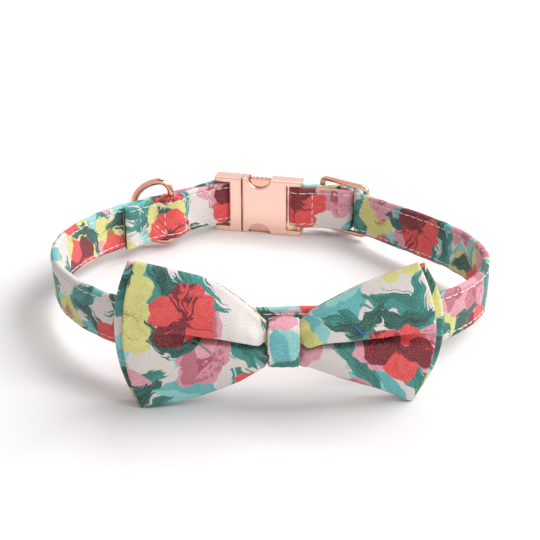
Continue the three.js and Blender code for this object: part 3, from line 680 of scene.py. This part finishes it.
def hem_thickness(at):
    """The band's thickness as a share of the plain band's: it is more over the hem."""
    hem = np.sqrt(np.clip(1 - at / STRAP["hem_long"], 0, 1))
    return 1 + (STRAP["hem"] / STRAP["thick"] - 1) * hem


def build_strap():
    """The band: for each station a closed section of round edges and stitched faces."""
    half, thin = STRAP["width"] / 2, STRAP["thick"] / 2
    round_edge = CLOTH["round_edge"]
    flat = half - round_edge
    by_row = ROW + np.array([-0.45, -0.2, 0, 0.2, 0.45])
    heights = np.unique(np.concatenate([np.linspace(-flat, flat, 13), -by_row, by_row]))
    bend = np.linspace(0, np.pi, 9)[1:-1]
    across = np.concatenate([heights, flat + round_edge * np.sin(bend),
                             heights[::-1], -flat - round_edge * np.sin(bend)])
    out = np.concatenate([np.full(heights.size, thin), thin * np.cos(bend),
                          np.full(heights.size, -thin), -thin * np.cos(bend)])
    # the hem is thicker, and all of that is on its face towards the inside of the ring
    thick = hem_thickness(AT)
    pull = 0.55 + 0.45 * np.cos(TURN * AT / STITCH["pitch"])
    from_row = (np.abs(across) - ROW) / CLOTH["groove_wide"]
    groove = CLOTH["groove"] * np.exp(-from_row ** 2)
    crown = CLOTH["crown"] * (1 - (across / half) ** 2)
    body = np.sign(out) * np.minimum(1, np.abs(out) / thin)
    depth = out[None] * thick[:, None] + body[None] * (
        crown[None] - groove[None] * pull[:, None] - CLOTH["sink"])
    depth += (1 - thick[:, None]) * thin
    # the edges outside the seams wave, and the whole band sways a little
    upper, lower = wander(AT, 3, 4.0)[:, None], wander(AT, 4, 4.7)[:, None]
    past_row = np.clip((np.abs(across) - ROW) / STITCH["from_edge"], 0, 1)
    wave = CLOTH["wave"] * (upper * (across > 0) + lower * (across < 0)) * past_row
    rise = across[None] + wave * np.sign(across)[None]
    rise = rise + CLOTH["sway"] * wander(AT, 8, 8.5)[:, None]
    # both ends are rounded off by three narrowing stations
    rings = MIDDLE[:, None] + UP[:, None] * rise[..., None] + SIDE[:, None] * depth[..., None]
    ends = []
    for end, inner in ((0, 1), (-1, -2)):
        away = MIDDLE[end] - MIDDLE[inner]
        away /= np.linalg.norm(away)
        centre = MIDDLE[end] + SIDE[end] * depth[end].mean()
        for reach, share, _ in END_STEPS:
            off = (rings[end] - centre) @ SIDE[end]
            ends.append(rings[end] - SIDE[end] * (off * (1 - share))[:, None]
                        + away * reach * thin * thick[end])
    rings = np.concatenate([ends[2::-1], rings, ends[3:]])
    past = np.array([step for _, _, step in END_STEPS])
    at = np.concatenate([AT[0] - past[::-1], AT, AT[-1] + past])
    closed = np.append(across, across[0]), np.append(out, out[0])
    girth = np.concatenate([[0], np.cumsum(np.hypot(np.diff(closed[0]), np.diff(closed[1])))])
    count = across.size
    faces = grid_faces(len(rings), count, round_cols=True)
    flat_map = grid_map(at[:, None] / 10, girth[None] / 10)
    return skin("strap_band", rings.reshape(-1, 3) + SHIFT, faces, flat_map,
                end_caps(len(rings), count), strap_cotton)


strap_band = build_strap()
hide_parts("strap")
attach(strap_band, "collar")


# %% [markdown]
# ## The seams of the strap
# White thread runs near both edges on both faces, in stitches a little under three millimetres
# long.
# Extra seams hold the folds: boxes with a cross in them beside the tongue and the D-ring, and
# single rows across. Each stitch is a short tube whose ends dip into the cloth. Where a stitch
# lies is said by two numbers, its length along the line and its height across the band.

# %% Places on the strap, and thread on them
def on_strap(s, h, face, proud):
    """Points a little proud of one face, from length along the line and height across."""
    middle, side, up = (np.stack([np.interp(s, AT, field[:, k]) for k in range(3)], -1)
                        for field in (MIDDLE, SIDE, UP))
    thick, thin = hem_thickness(s), STRAP["thick"] / 2
    off = face * (thin * thick + proud) + (1 - thick) * thin
    return middle + up * h[..., None] + side * off[..., None]


def tubes(name, paths, radius, material, sides=6):
    """Many short tubes in one mesh: a circle is carried along each path and shrinks at its ends.
    The paths are an array of tubes, points and coordinates."""
    count, points = paths.shape[:2]
    along = np.gradient(paths, axis=1)
    along /= np.linalg.norm(along, axis=2)[..., None]
    aside = np.cross(along, np.array([0.31, 0.52, 0.79]))
    aside /= np.linalg.norm(aside, axis=2)[..., None]
    other = np.cross(along, aside)
    a = np.linspace(0, TURN, sides, endpoint=False)
    taper = radius * np.sin(np.linspace(0.35, np.pi - 0.35, points)) ** 0.5
    ring = aside[:, :, None] * np.cos(a)[:, None] + other[:, :, None] * np.sin(a)[:, None]
    skin_points = paths[:, :, None] + ring * taper[None, :, None, None]
    one = grid_faces(points, sides, round_cols=True)
    starts = (np.arange(count) * points * sides)[:, None, None]
    faces = (one[None] + starts).reshape(-1, 4)
    caps = np.concatenate([starts[:, 0] + np.array(cap) for cap in end_caps(points, sides)])
    return skin(name, skin_points.reshape(-1, 3) + SHIFT, faces, None, caps.tolist(), material)


DIP = np.array([-0.22, -0.04, 0.07, 0.10, 0.07, -0.04, -0.22])  # a stitch over the cloth's face


def stitches(rows, seed):
    """Paths of stitches for rows of (start s, start h, end s, end h, face). Each stitch strays a
    little from its row, by random numbers that are the same on every run."""
    dice = np.random.default_rng(seed)
    paths = []
    for s0, h0, s1, h1, face in rows:
        length = math.hypot(s1 - s0, h1 - h0)
        count = max(1, round(length / STITCH["pitch"]))
        long = STITCH["long"] / STITCH["pitch"] * dice.uniform(0.90, 1.06, count)
        first = np.arange(count) + 0.5 - long / 2
        share = (first[:, None] + long[:, None] * np.linspace(0, 1, DIP.size)) / count
        tilt = dice.uniform(-0.10, 0.10, (count, 1)) * np.linspace(-1, 1, DIP.size)
        stray = dice.uniform(-0.08, 0.08, (count, 1)) + tilt
        s = s0 + (s1 - s0) * share - stray * (h1 - h0) / length
        h = h0 + (h1 - h0) * share + stray * (s1 - s0) / length
        paths.append(on_strap(s, h, face, np.broadcast_to(DIP, s.shape)))
    return np.concatenate(paths)


SEAM_ENDS = (0.1, AT[-1] - 1.2)
edge_rows = [(SEAM_ENDS[0], h, SEAM_ENDS[1], h, face) for h in (-ROW, ROW) for face in (-1, 1)]
edge_thread = tubes("strap_edge_stitches", stitches(edge_rows, 11), STITCH["radius"],
                    white_thread)

# %% The seams that hold the folds
FOLDS = dict(first=(4.9, 15.6), second=(24.0, 37.8), housing=446.0)


def crossed_box(start, end):
    """Rows of a box seam with a cross: two rows across the band and both diagonals."""
    return [(start, -ROW, start, ROW, -1), (end, -ROW, end, ROW, -1),
            (start, -ROW, end, ROW, -1), (start, ROW, end, -ROW, -1)]


def behind(s):
    """The length along the line at which the other layer lies against the one at s."""
    away = np.linalg.norm(LINE - [np.interp(s, AT, LINE[:, k]) for k in range(2)], axis=1)
    away[np.abs(AT - s) < 12] = np.inf
    return AT[away.argmin()]


inner_rows = crossed_box(*FOLDS["first"]) + crossed_box(*FOLDS["second"])
outer_rows = [(behind(row[0]), row[1], behind(row[2]), row[3], -1) for row in inner_rows]
housing, opposite = FOLDS["housing"], behind(FOLDS["housing"])
inner_rows.append((housing, -ROW, housing, ROW, -1))
outer_rows.append((opposite, -ROW, opposite, ROW, 1))
fold_thread = tubes("strap_fold_stitches", stitches(inner_rows + outer_rows, 12),
                    STITCH["radius"], white_thread)
for piece in (edge_thread, fold_thread):
    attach(piece, "collar")


# %% [markdown]
# ## The bow
# The bow is two flat bags of cotton laid on each other and drawn together in the middle. Each is
# a surface of two numbers: across, from -1 at the left end to 1 at the right, and up, from -1 at
# the bottom to 1 at the top. Its front bulges like a pillow, and a fold runs out from the knot:
# the upper half hangs over the lower one and hides some of the cloth. The layer behind has the
# same middle and stands out past the front one at both ends.

# %% Tables of the bow
WING_OUTLINE = np.array([
    # share of the reach, left top, left bottom, right top, right bottom
    [0.0, 22.4, 14.0, 22.4, 14.0],
    [0.104, 22.4, 14.0, 22.4, 14.0],
    [0.118, 24.1, 12.0, 24.1, 12.1],
    [0.145, 25.1, 11.1, 25.0, 11.6],
    [0.2, 27.6, 9.7, 27.2, 11.2],
    [0.3, 31.3, 7.1, 29.5, 9.6],
    [0.43, 35.2, 4.9, 32.1, 7.7],
    [0.575, 38.0, 3.0, 34.9, 5.9],
    [0.72, 39.8, 1.6, 37.0, 4.2],
    [0.88, 41.5, 0.3, 39.2, 1.7],
    [0.95, 42.2, 0.0, 40.1, 0.0],
    [1.0, 42.6, 0.0, 40.7, 0.0],
])
WING_DEPTH = np.array([
    # share, left rim's y, right rim's y, forward bulge, left tuck, right tuck, layers apart
    [0.0, -57.9, -57.9, 0.0, 0.0, 0.0, 0.0],
    [0.096, -57.9, -57.9, 0.0, 0.0, 0.0, 0.0],
    [0.15, -57.9, -57.8, 1.3, 2.2, 2.0, 0.0],
    [0.2, -57.7, -57.4, 2.6, 4.2, 3.6, 0.0],
    [0.3, -57.5, -57.0, 3.8, 4.6, 4.0, 0.1],
    [0.45, -57.6, -56.6, 4.1, 3.0, 3.7, 0.3],
    [0.6, -58.1, -56.3, 3.6, 1.2, 2.8, 0.5],
    [0.75, -58.7, -56.0, 2.8, 0.3, 1.6, 0.8],
    [0.9, -59.1, -55.7, 1.7, 0.0, 0.6, 1.1],
    [1.0, -59.3, -55.5, 1.0, 0.0, 0.2, 1.3],
])
LAYER = dict(thick=2.6, rim=1.8, turned=3.6, pressed=0.10, edge=0.06, rounds=0.8,
             fills=(0.3, 5.5))
BACK_LAYER = dict(height=0.94, drop_left=0.4, drop_right=0.5, longer=0.06)
CREASE = dict(left=0.40, right=0.36, falls=0.9, left_dip=0.03, right_dip=0.12, dip_at=0.16,
              dip_wide=0.07, below=0.45, below_fades=0.36, above_fades=0.42, lift=0.4)
SLOT = dict(deep=4.6, tall=3.4, edge=0.22, lap=1.8, lap_at=0.6, turn=0.32, full_tuck=2.5)
REACH = dict(left_corner=38.35, right_corner=35.0, left_middle=42.4, right_middle=40.5)
GATHERS = dict(deep=0.42, at=0.13, wide=0.13, waves=9.5, left_phase=0.6, right_phase=2.1)
UNEVEN = dict(deep=0.28, along=0.21, up=2.9, slant=0.06, phase=1.3)


def read_table(table, share, left, left_column, right_column):
    """A table's column at each share, from one column for the left wing, another for the right."""
    return np.where(left, np.interp(share, table[:, 0], table[:, left_column]),
                    np.interp(share, table[:, 0], table[:, right_column]))


def smoothstep(value, low, high):
    """0 below low and 1 above high, with an even slope at both ends: 3t^2 - 2t^3."""
    t = np.clip((value - low) / (high - low), 0, 1)
    return t * t * (3 - 2 * t)


def crease_level(across):
    """The level of the fold, between -1 and 1: it falls evenly from the knot outwards, and dips
    a little beside the knot."""
    left, share = across < 0, np.abs(across)
    at_knot = np.where(left, CREASE["left"], CREASE["right"])
    dip = np.where(left, CREASE["left_dip"], CREASE["right_dip"])
    near = (share - CREASE["dip_at"]) / CREASE["dip_wide"]
    return at_knot * (1 - CREASE["falls"] * share) - dip * np.exp(-near ** 2)


# %% A bow layer's front face
def bow_front(across, up, back):
    """Points of the front face, the height of the fold above each, and the hidden cloth."""
    left, share = across < 0, np.abs(across)
    corners = np.where(left, REACH["left_corner"], REACH["right_corner"])
    middles = np.where(left, REACH["left_middle"], REACH["right_middle"])
    length = corners + (middles - corners) * (1 - up ** 2)
    longer = back * BACK_LAYER["longer"] * smoothstep(share, 0.5, 1)
    x = KNOT["x"] + np.sign(across) * length * (share + longer)
    top, bottom = (read_table(WING_OUTLINE, share, left, a, a + 2) for a in (1, 2))
    middle, half = (top + bottom) / 2, (top - bottom) / 2
    drop = np.where(left, BACK_LAYER["drop_left"], BACK_LAYER["drop_right"])
    outer = back * smoothstep(np.abs(up), 0.3, 1)
    z = middle + half * up - outer * (half * (1 - BACK_LAYER["height"]) * np.sign(up)
                                      + drop * share)
    level = (z - middle) / half
    tuck = read_table(WING_DEPTH, share, left, 4, 5)
    fold = level - crease_level(across)
    opened = np.minimum(1, tuck / SLOT["full_tuck"])
    below = CREASE["below"] * tuck * np.exp(np.minimum(fold, 0) / CREASE["below_fades"])
    above = -CREASE["lift"] * tuck * np.exp(-np.maximum(fold, 0) / CREASE["above_fades"])
    # the lower half turns back into a slot under the upper half
    shoulder = fold * half + np.minimum(SLOT["tall"], 0.33 * half)
    below = below + SLOT["deep"] * opened * (0.5 + 0.5 * np.tanh(shoulder / SLOT["edge"]))
    over = 0.5 + 0.5 * np.tanh(fold * half / SLOT["turn"])
    rim = 1 - np.maximum(0, np.abs(level) - 0.75) / 0.25
    bulge = np.interp(share, WING_DEPTH[:, 0], WING_DEPTH[:, 3]) * (1 - level ** 2)
    y = read_table(WING_DEPTH, share, left, 1, 2) - bulge + (below + (above - below) * over) * rim
    # the upper half's edge hangs down over the lower half, most where the tuck is deep
    near = fold * half / SLOT["lap_at"]
    z = z - SLOT["lap"] * opened * near * np.exp(0.5 - 0.5 * near ** 2)
    # gathers run out from the knot, and the cloth is never quite even
    pinch = np.exp(-((share - GATHERS["at"]) / GATHERS["wide"]) ** 2)
    pinch = GATHERS["deep"] * pinch * np.clip((share - 0.09) / 0.06, 0, 1)
    phase = np.where(left, GATHERS["left_phase"], GATHERS["right_phase"])
    y = y + pinch * np.sin(level * GATHERS["waves"] + phase) * rim
    hills = np.sin(x * UNEVEN["along"] + UNEVEN["phase"] + back)
    hills = hills * np.sin(level * UNEVEN["up"] + x * UNEVEN["slant"])
    y = y + UNEVEN["deep"] * hills * (1 - level ** 2)
    if back:
        y = y + LAYER["thick"] + GAP + np.interp(share, WING_DEPTH[:, 0], WING_DEPTH[:, 6])
    hidden = (1 - over) * tuck * 1.6
    return np.stack([x, y, z], -1), hidden


def bow_grid():
    """Across and up for a grid that is finer at the rim and round the fold, which bends it."""
    share = np.concatenate([np.linspace(0, 0.955, 62), [0.97, 0.982, 0.99, 0.996, 1]])
    across = np.concatenate([-share[::-1][:-1], share])
    rims = np.array([0, 0.006, 0.015, 0.03, 0.05, 0.08])
    rest = np.linspace(-0.88, 0.88, 38)
    slot, lip, above = (np.linspace(*part) for part in ((-0.46, -0.05, 42), (-0.04, 0.04, 17),
                                                        (0.05, 0.16, 8)))
    body = np.concatenate([rest[rest < -0.48], slot, lip, above, rest[rest > 0.18]])
    rows = np.concatenate([-1 + rims, body, (1 - rims)[::-1]])
    crease = crease_level(across) * np.minimum(1, np.abs(across) * 8)
    up = crease[:, None] * (1 - rows[None] ** 2) + rows[None]
    return np.broadcast_to(across[:, None], up.shape), up


def build_bow_layer(name, back, material):
    """A bag of cotton: the front face, and a rear face that meets it in a thin sewn rim."""
    grid, moved = bow_grid()
    face, hidden = bow_front(grid, moved, back)
    tip, _ = bow_front(grid, np.where(moved < 0, -1.0, 1.0), back)
    end, _ = bow_front(np.where(grid < 0, -1.0, 1.0), moved, back)
    inside = np.minimum(np.abs(face[..., 2] - tip[..., 2]), np.abs(face[..., 0] - end[..., 0]))
    round_off = np.sqrt(1 - (1 - np.clip(inside / LAYER["rounds"], 0, 1)) ** 2)
    half = LAYER["edge"] + (LAYER["rim"] / 2 - LAYER["edge"]) * round_off
    half = half + (LAYER["thick"] - LAYER["rim"]) / 2 * smoothstep(inside, *LAYER["fills"])
    # the seam allowance inside shows as a pressed line
    pressed = np.exp(-(((inside - LAYER["turned"]) / 0.5) ** 2))
    pressed = LAYER["pressed"] * pressed * smoothstep(np.abs(grid), 0.25, 0.5)
    middle = face[..., 1] + LAYER["thick"] / 2
    front = np.stack([face[..., 0], middle - half + pressed, face[..., 2]], -1)
    rear = np.stack([face[..., 0], middle + half, face[..., 2]], -1)[:, ::-1]
    rings = np.concatenate([front, rear], 1)
    u, v = face[..., 0] / 10, (face[..., 2] - hidden) / 10
    u = np.concatenate([u, u[:, ::-1], u[:, :1]], 1)
    v = np.concatenate([v, -v[:, ::-1] - 1.5, v[:, :1]], 1)
    count = rings.shape[1]
    faces = grid_faces(len(rings), count, round_cols=True)
    m, last = moved.shape[1], (len(rings) - 1) * count
    caps = [[k + 1, k, count - 1 - k, count - 2 - k] for k in range(m - 1)]
    caps += [[last + c for c in cap[::-1]] for cap in caps]
    layer = skin(name, rings.reshape(-1, 3) + SHIFT, faces, grid_map(u, v), caps, material)
    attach(layer, "collar")
    return layer


bow_front_bag = build_bow_layer("bow_front_bag", 0, front_cotton)
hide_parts("bow_front_layer")
bow_back_bag = build_bow_layer("bow_back_bag", 1, back_cotton)
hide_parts("bow_back_layer")


# %% [markdown]
# ## Loose threads
# Two ends of thread still lie on the bow: a green one under the lip of the left wing and a short
# blue one, with a split end, on the right wing. Each is a thin tube along a curve through a few
# points on the cloth.

# %% Loose threads on the bow
LOOSE_THREADS = {
    # name: colour, radius and points
    "loose_thread_green": ("2a9a78", 0.14, [
        [-22.4, -60.8, 21.5], [-21.7, -61.0, 21.35], [-20.9, -61.2, 21.0], [-20.1, -61.25, 20.5],
        [-19.24, -61.22, 19.65], [-18.21, -61.18, 18.7], [-17.45, -61.13, 17.87],
        [-16.81, -61.06, 17.19]]),
    "loose_thread_blue": ("3a6fd8", 0.20, [
        [20.25, -60.95, 25.65], [20.78, -61.16, 25.07], [21.49, -61.32, 24.33],
        [22.18, -61.34, 23.6], [22.88, -61.3, 22.78]]),
    "loose_thread_blue_end": ("4d82e6", 0.14, [
        [22.0, -61.36, 23.75], [22.6, -61.32, 23.62], [23.3, -61.22, 23.95]]),
}
for thread_name, (code, radius, points) in LOOSE_THREADS.items():
    thread_end = tubes(thread_name, smooth_line(points, 0.3)[None], radius,
                       yarn(thread_name, code))
    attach(thread_end, "collar")


# %% [markdown]
# ## The knot and the pad
# A band of the same cotton is wrapped round the middle of the bow and sewn shut behind. Its long
# edges are folded in, so they are round and a little thicker. The pad behind it fills the space
# up to the strap.

# %% Knot and pad
SLEEVE = dict(inside=(-58.2, -51.8, 13.5, 22.9), squareness=3.4, edge_pull=0.75, edge_from=0.86,
              turned=0.16, turned_at=0.80, crown=0.08, ripple=0.10, ripple_before=-55)
PAD = dict(half=3.6, front=-49.9, back=-48.3, middle=17.9, tall=4.9, slims=0.8, squareness=3.5)


def oval(y0, y1, z0, z1, squareness, count):
    """A closed oval in y and z: each half size times cos and sin to the power 2 / squareness."""
    t = np.linspace(0, TURN, count, endpoint=False)
    round_way = np.stack([np.cos(t), np.sin(t)], -1)
    square = np.sign(round_way) * np.abs(round_way) ** (2 / squareness)
    return np.array([y0 + y1, z0 + z1]) / 2 + np.array([y1 - y0, z1 - z0]) / 2 * square


def build_knot():
    """A sleeve: ovals from one edge of the band to the other outside, and back again inside."""
    count, outer = 120, 41
    share = np.concatenate([-np.cos(np.linspace(0, np.pi, outer)), [0.9, 0, -0.9]])
    rings = []
    for k, part in enumerate(share):
        if k < outer:
            past = max(0, (abs(part) - SLEEVE["edge_from"]) / (1 - SLEEVE["edge_from"]))
            fold = math.exp(-(((abs(part) - SLEEVE["turned_at"]) / 0.05) ** 2))
            pull = SLEEVE["edge_pull"] * past ** 2.2 + SLEEVE["turned"] * fold
            pull -= SLEEVE["crown"] * (1 - part * part)
            ring = oval(KNOT["front"] + pull, KNOT["back"] - pull / 3, KNOT["low"] + pull * 0.6,
                        KNOT["high"] - pull * 0.6, SLEEVE["squareness"], count)
        else:
            ring = oval(*SLEEVE["inside"], 5, count)
        rings.append(np.column_stack([np.full(count, KNOT["x"] + part * KNOT["half"]), ring]))
    rings = np.array(rings)
    # small sideways wrinkles where the band bends over the top and bottom
    x, y, rise = rings[..., 0], rings[..., 1], rings[..., 2] - (KNOT["low"] + KNOT["high"]) / 2
    ripple = np.sin(x * 2.3 + rise * 0.35) * smoothstep(np.abs(rise), 2.5, 6)
    front = (y < SLEEVE["ripple_before"]) & (np.arange(len(share)) < outer)[:, None]
    rings[..., 1] -= SLEEVE["ripple"] * ripple * front
    girth = np.linspace(0, 4.1, count + 1)
    u = np.concatenate([share[:outer] * KNOT["half"] / 10, [0.9, 1.3, 1.7, 2.2]])
    faces = grid_faces(len(rings), count, round_rows=True, round_cols=True)
    return skin("bow_knot_band", rings.reshape(-1, 3) + SHIFT, faces,
                grid_map(u[:, None], girth[None]), (), knot_cotton)


bow_knot_band = build_knot()
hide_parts("bow_knot")
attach(bow_knot_band, "collar")


def build_pad():
    """A small cushion: a box whose section rounds off towards both ends."""
    count = 48
    share = -np.cos(np.linspace(0, np.pi, 21))
    size = (1 - np.abs(share) ** 6) ** 0.35 * 0.35 + 0.65
    rings = []
    for part, full in zip(share, size):
        slim, tall = PAD["slims"] * (1 - full), PAD["tall"] * full
        section = oval(PAD["front"] + slim, PAD["back"] - slim, PAD["middle"] - tall,
                       PAD["middle"] + tall, PAD["squareness"], count)
        rings.append(np.column_stack([np.full(count, KNOT["x"] + part * PAD["half"]), section]))
    faces = grid_faces(len(rings), count, round_cols=True)
    u, v = share[:, None] * PAD["half"] / 10, np.linspace(0, 2.3, count + 1)[None]
    return skin("bow_pad_cloth", np.array(rings).reshape(-1, 3) + SHIFT, faces, grid_map(u, v),
                end_caps(len(rings), count), knot_cotton)


bow_pad_cloth = build_pad()
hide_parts("bow_pad")
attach(bow_pad_cloth, "collar")


# %% [markdown]
# ## Rose gold metal
# The buckle, the slider and the D-ring are plated in rose gold. The buckle is satin: fine upright
# brush lines spread its reflections sideways. The ring and the slider are polished. Metal shows
# what is around it, so its colour is in its reflection and it needs no pattern, only fine marks
# and a roughness that is not quite even.

# %% Metal finishes
def rose_gold(name, code, rough, brushed):
    """Plated metal: its reflection's colour, how rough, and the depth of upright brush lines."""
    material, shader = new_finish(name)
    wire = Wire(shader.inputs["Base Color"])
    at = wire.node("ShaderNodeTexCoord")["Object"]
    cloud = wire.node("ShaderNodeTexNoise", {}, {"Vector": at, "Scale": 260.0})["Fac"]
    lines = wire.node("ShaderNodeTexNoise", {}, {
        "Vector": wire.node("ShaderNodeVectorMath", {"operation": "MULTIPLY"},
                            {0: at, 1: (1.0, 1.0, 0.03)})["Vector"],
        "Scale": 9000.0, "Detail": 2.0})["Fac"]
    tone = cloud.between(tuple(0.95 * v for v in colour(code)[:3]) + (1,), colour(code))
    bump = wire.node("ShaderNodeBump", {}, {"Height": lines, "Strength": brushed,
                                            "Distance": 0.00003})["Normal"]
    links = material.node_tree.links
    links.new(tone.socket, shader.inputs["Base Color"])
    links.new((rough + 0.08 * cloud + 0.06 * lines).socket, shader.inputs["Roughness"])
    links.new(bump.socket, shader.inputs["Normal"])
    shader.inputs["Metallic"].default_value = 1.0
    return material


satin = rose_gold("satin_rose_gold", "ffd7c8", 0.24, 0.35)
polished = rose_gold("polished_rose_gold", "f7c0ac", 0.06, 0.05)
for node in ("buckle_tongue", "buckle_housing"):
    frame["nodes"][node].data.materials[0] = satin
for node in ("button_upper", "button_lower"):
    frame["nodes"][node].data.materials[0] = polished


# %% [markdown]
# ## The D-ring and the slider
# The ring is bent from round wire: a straight bar in the strap's pocket, two tight corners and a
# full bow. The slider is cast: a frame with rounded corners, and a bar down its middle.

# %% The D-ring
def build_ring():
    """A circle carried round the ring's outline: a straight bar, a rounded corner at each of its
    ends, and between them r = depth sin(t)^p, h = half cos(t)^p, with p = 2 / fullness."""
    half, depth, power = RING["half"], RING["depth"], 2 / RING["fullness"]
    parts = []
    for corner, way in ((RING["upper_corner"], 1), (RING["lower_corner"], -1)):
        start = math.asin((corner / depth) ** (1 / power))
        t = np.linspace(start, np.pi / 2, 80)
        bow = np.stack([depth * np.sin(t) ** power,
                        half * (np.cos(t) / np.cos(start)) ** power], -1)
        bend = arc(np.array([corner, half - corner]), corner, 180, 90, 16)[:-1]
        part = np.vstack([bend, bow]) * (1, way)
        parts.append(part if way > 0 else part[::-1][1:])
    outline = spaced(np.vstack([*parts, parts[0][:1]]), 0.45)[:-1]
    for _ in range(3):
        outline = (np.roll(outline, 1, 0) + outline + np.roll(outline, -1, 0)) / 3
    middle, _, up = (f[0] for f in strap_frame(np.array([[RING["x"], RING["y"]],
                                                          [RING["x"] + 1e-3, RING["y"]]])))
    up = up / np.linalg.norm(up)
    middle = middle + np.array([0, 0, RING["above"]])
    a = math.radians(RING["points"])
    reach = np.array([math.cos(a), math.sin(a), 0])
    reach = reach - up * (reach @ up)
    reach /= np.linalg.norm(reach)
    across = np.cross(up, reach)
    line = middle + outline[:, :1] * reach + outline[:, 1:] * up
    along = np.roll(line, -1, 0) - np.roll(line, 1, 0)
    along /= np.linalg.norm(along, axis=1)[:, None]
    side = np.cross(along, across)
    angle = np.linspace(0, TURN, 20, endpoint=False)
    rings = line[:, None] + RING["wire"] * (side[:, None] * np.cos(angle)[:, None]
                                            + across * np.sin(angle)[:, None])
    faces = grid_faces(len(line), angle.size, round_rows=True, round_cols=True)
    return skin("d_ring_wire", rings.reshape(-1, 3) + SHIFT, faces, None, (), polished)


d_ring_wire = build_ring()
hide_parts("d_ring")
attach(d_ring_wire, "d_ring")


# %% The slider
SLIDER = dict(outer=(10.5, 9.7, 2.6), inner=(8.3, 8.2, 1.3), deep=0.9, bar_half=1.1, bar_high=8.5,
              middle=11.1, roundness=0.62)


def rounded_oblong(half_long, half_high, radius, count=14):
    """Points round an oblong whose corners are quarter circles, in s and z."""
    corners = np.array([[1, 1], [-1, 1], [-1, -1], [1, -1]]) * (half_long - radius,
                                                                half_high - radius)
    share = np.linspace(0, 1, count, endpoint=False)[:, None]
    points = []
    for k in range(4):
        bend = arc(corners[k], radius, 90 * k, 90 * k + 90, count)
        straight = bend[-1] + (corners[(k + 1) % 4] - corners[k]) * share
        points += [bend[:-1], straight]
    return np.vstack(points)


def build_slider():
    """A frame between two rounded oblongs, and an upright bar, both with full round edges."""
    outer, inner = rounded_oblong(*SLIDER["outer"]), rounded_oblong(*SLIDER["inner"])
    count = 24
    angle = np.linspace(0, TURN, count, endpoint=False)
    wide, deep = (np.sign(wave) * np.abs(wave) ** SLIDER["roundness"]
                  for wave in (np.cos(angle), np.sin(angle)))
    centre, reach = (outer + inner) / 2, (outer - inner) / 2
    around_frame = centre[:, None] + reach[:, None] * wide[None, :, None]
    z = np.linspace(-SLIDER["bar_high"], SLIDER["bar_high"], 12)
    bar = np.stack(np.broadcast_arrays(SLIDER["bar_half"] * wide[None], z[:, None]), -1)
    made = []
    for name, flat in (("slider_frame", around_frame), ("slider_bar", bar)):
        closed = name == "slider_frame"
        out = np.broadcast_to(SLIDER["deep"] * deep, flat.shape[:2])
        rings = np.dstack([in_plan(SLIDER_AT, flat[..., 0], out), flat[..., 1] + SLIDER["middle"]])
        faces = grid_faces(len(rings), count, round_rows=closed, round_cols=True)
        caps = () if closed else end_caps(len(rings), count)
        made.append(skin(name, rings.reshape(-1, 3) + SHIFT, faces, None, caps, polished))
    return made


slider_frame, slider_bar = build_slider()
for piece in (slider_frame, slider_bar):
    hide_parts("slider")
    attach(piece, "collar")


# %% [markdown]
# ## The sizes of both models
# The box of the CAD model and the box of the dressed model are both printed. The visual
# model must not outgrow the CAD model.

# %% Print both boxes
dressed_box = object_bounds()
for label, (low, high) in (("CAD", cad_box), ("dressed", dressed_box)):
    print(label, "size in mm:", [round((b - a) / MM, 1) for a, b in zip(low, high)])
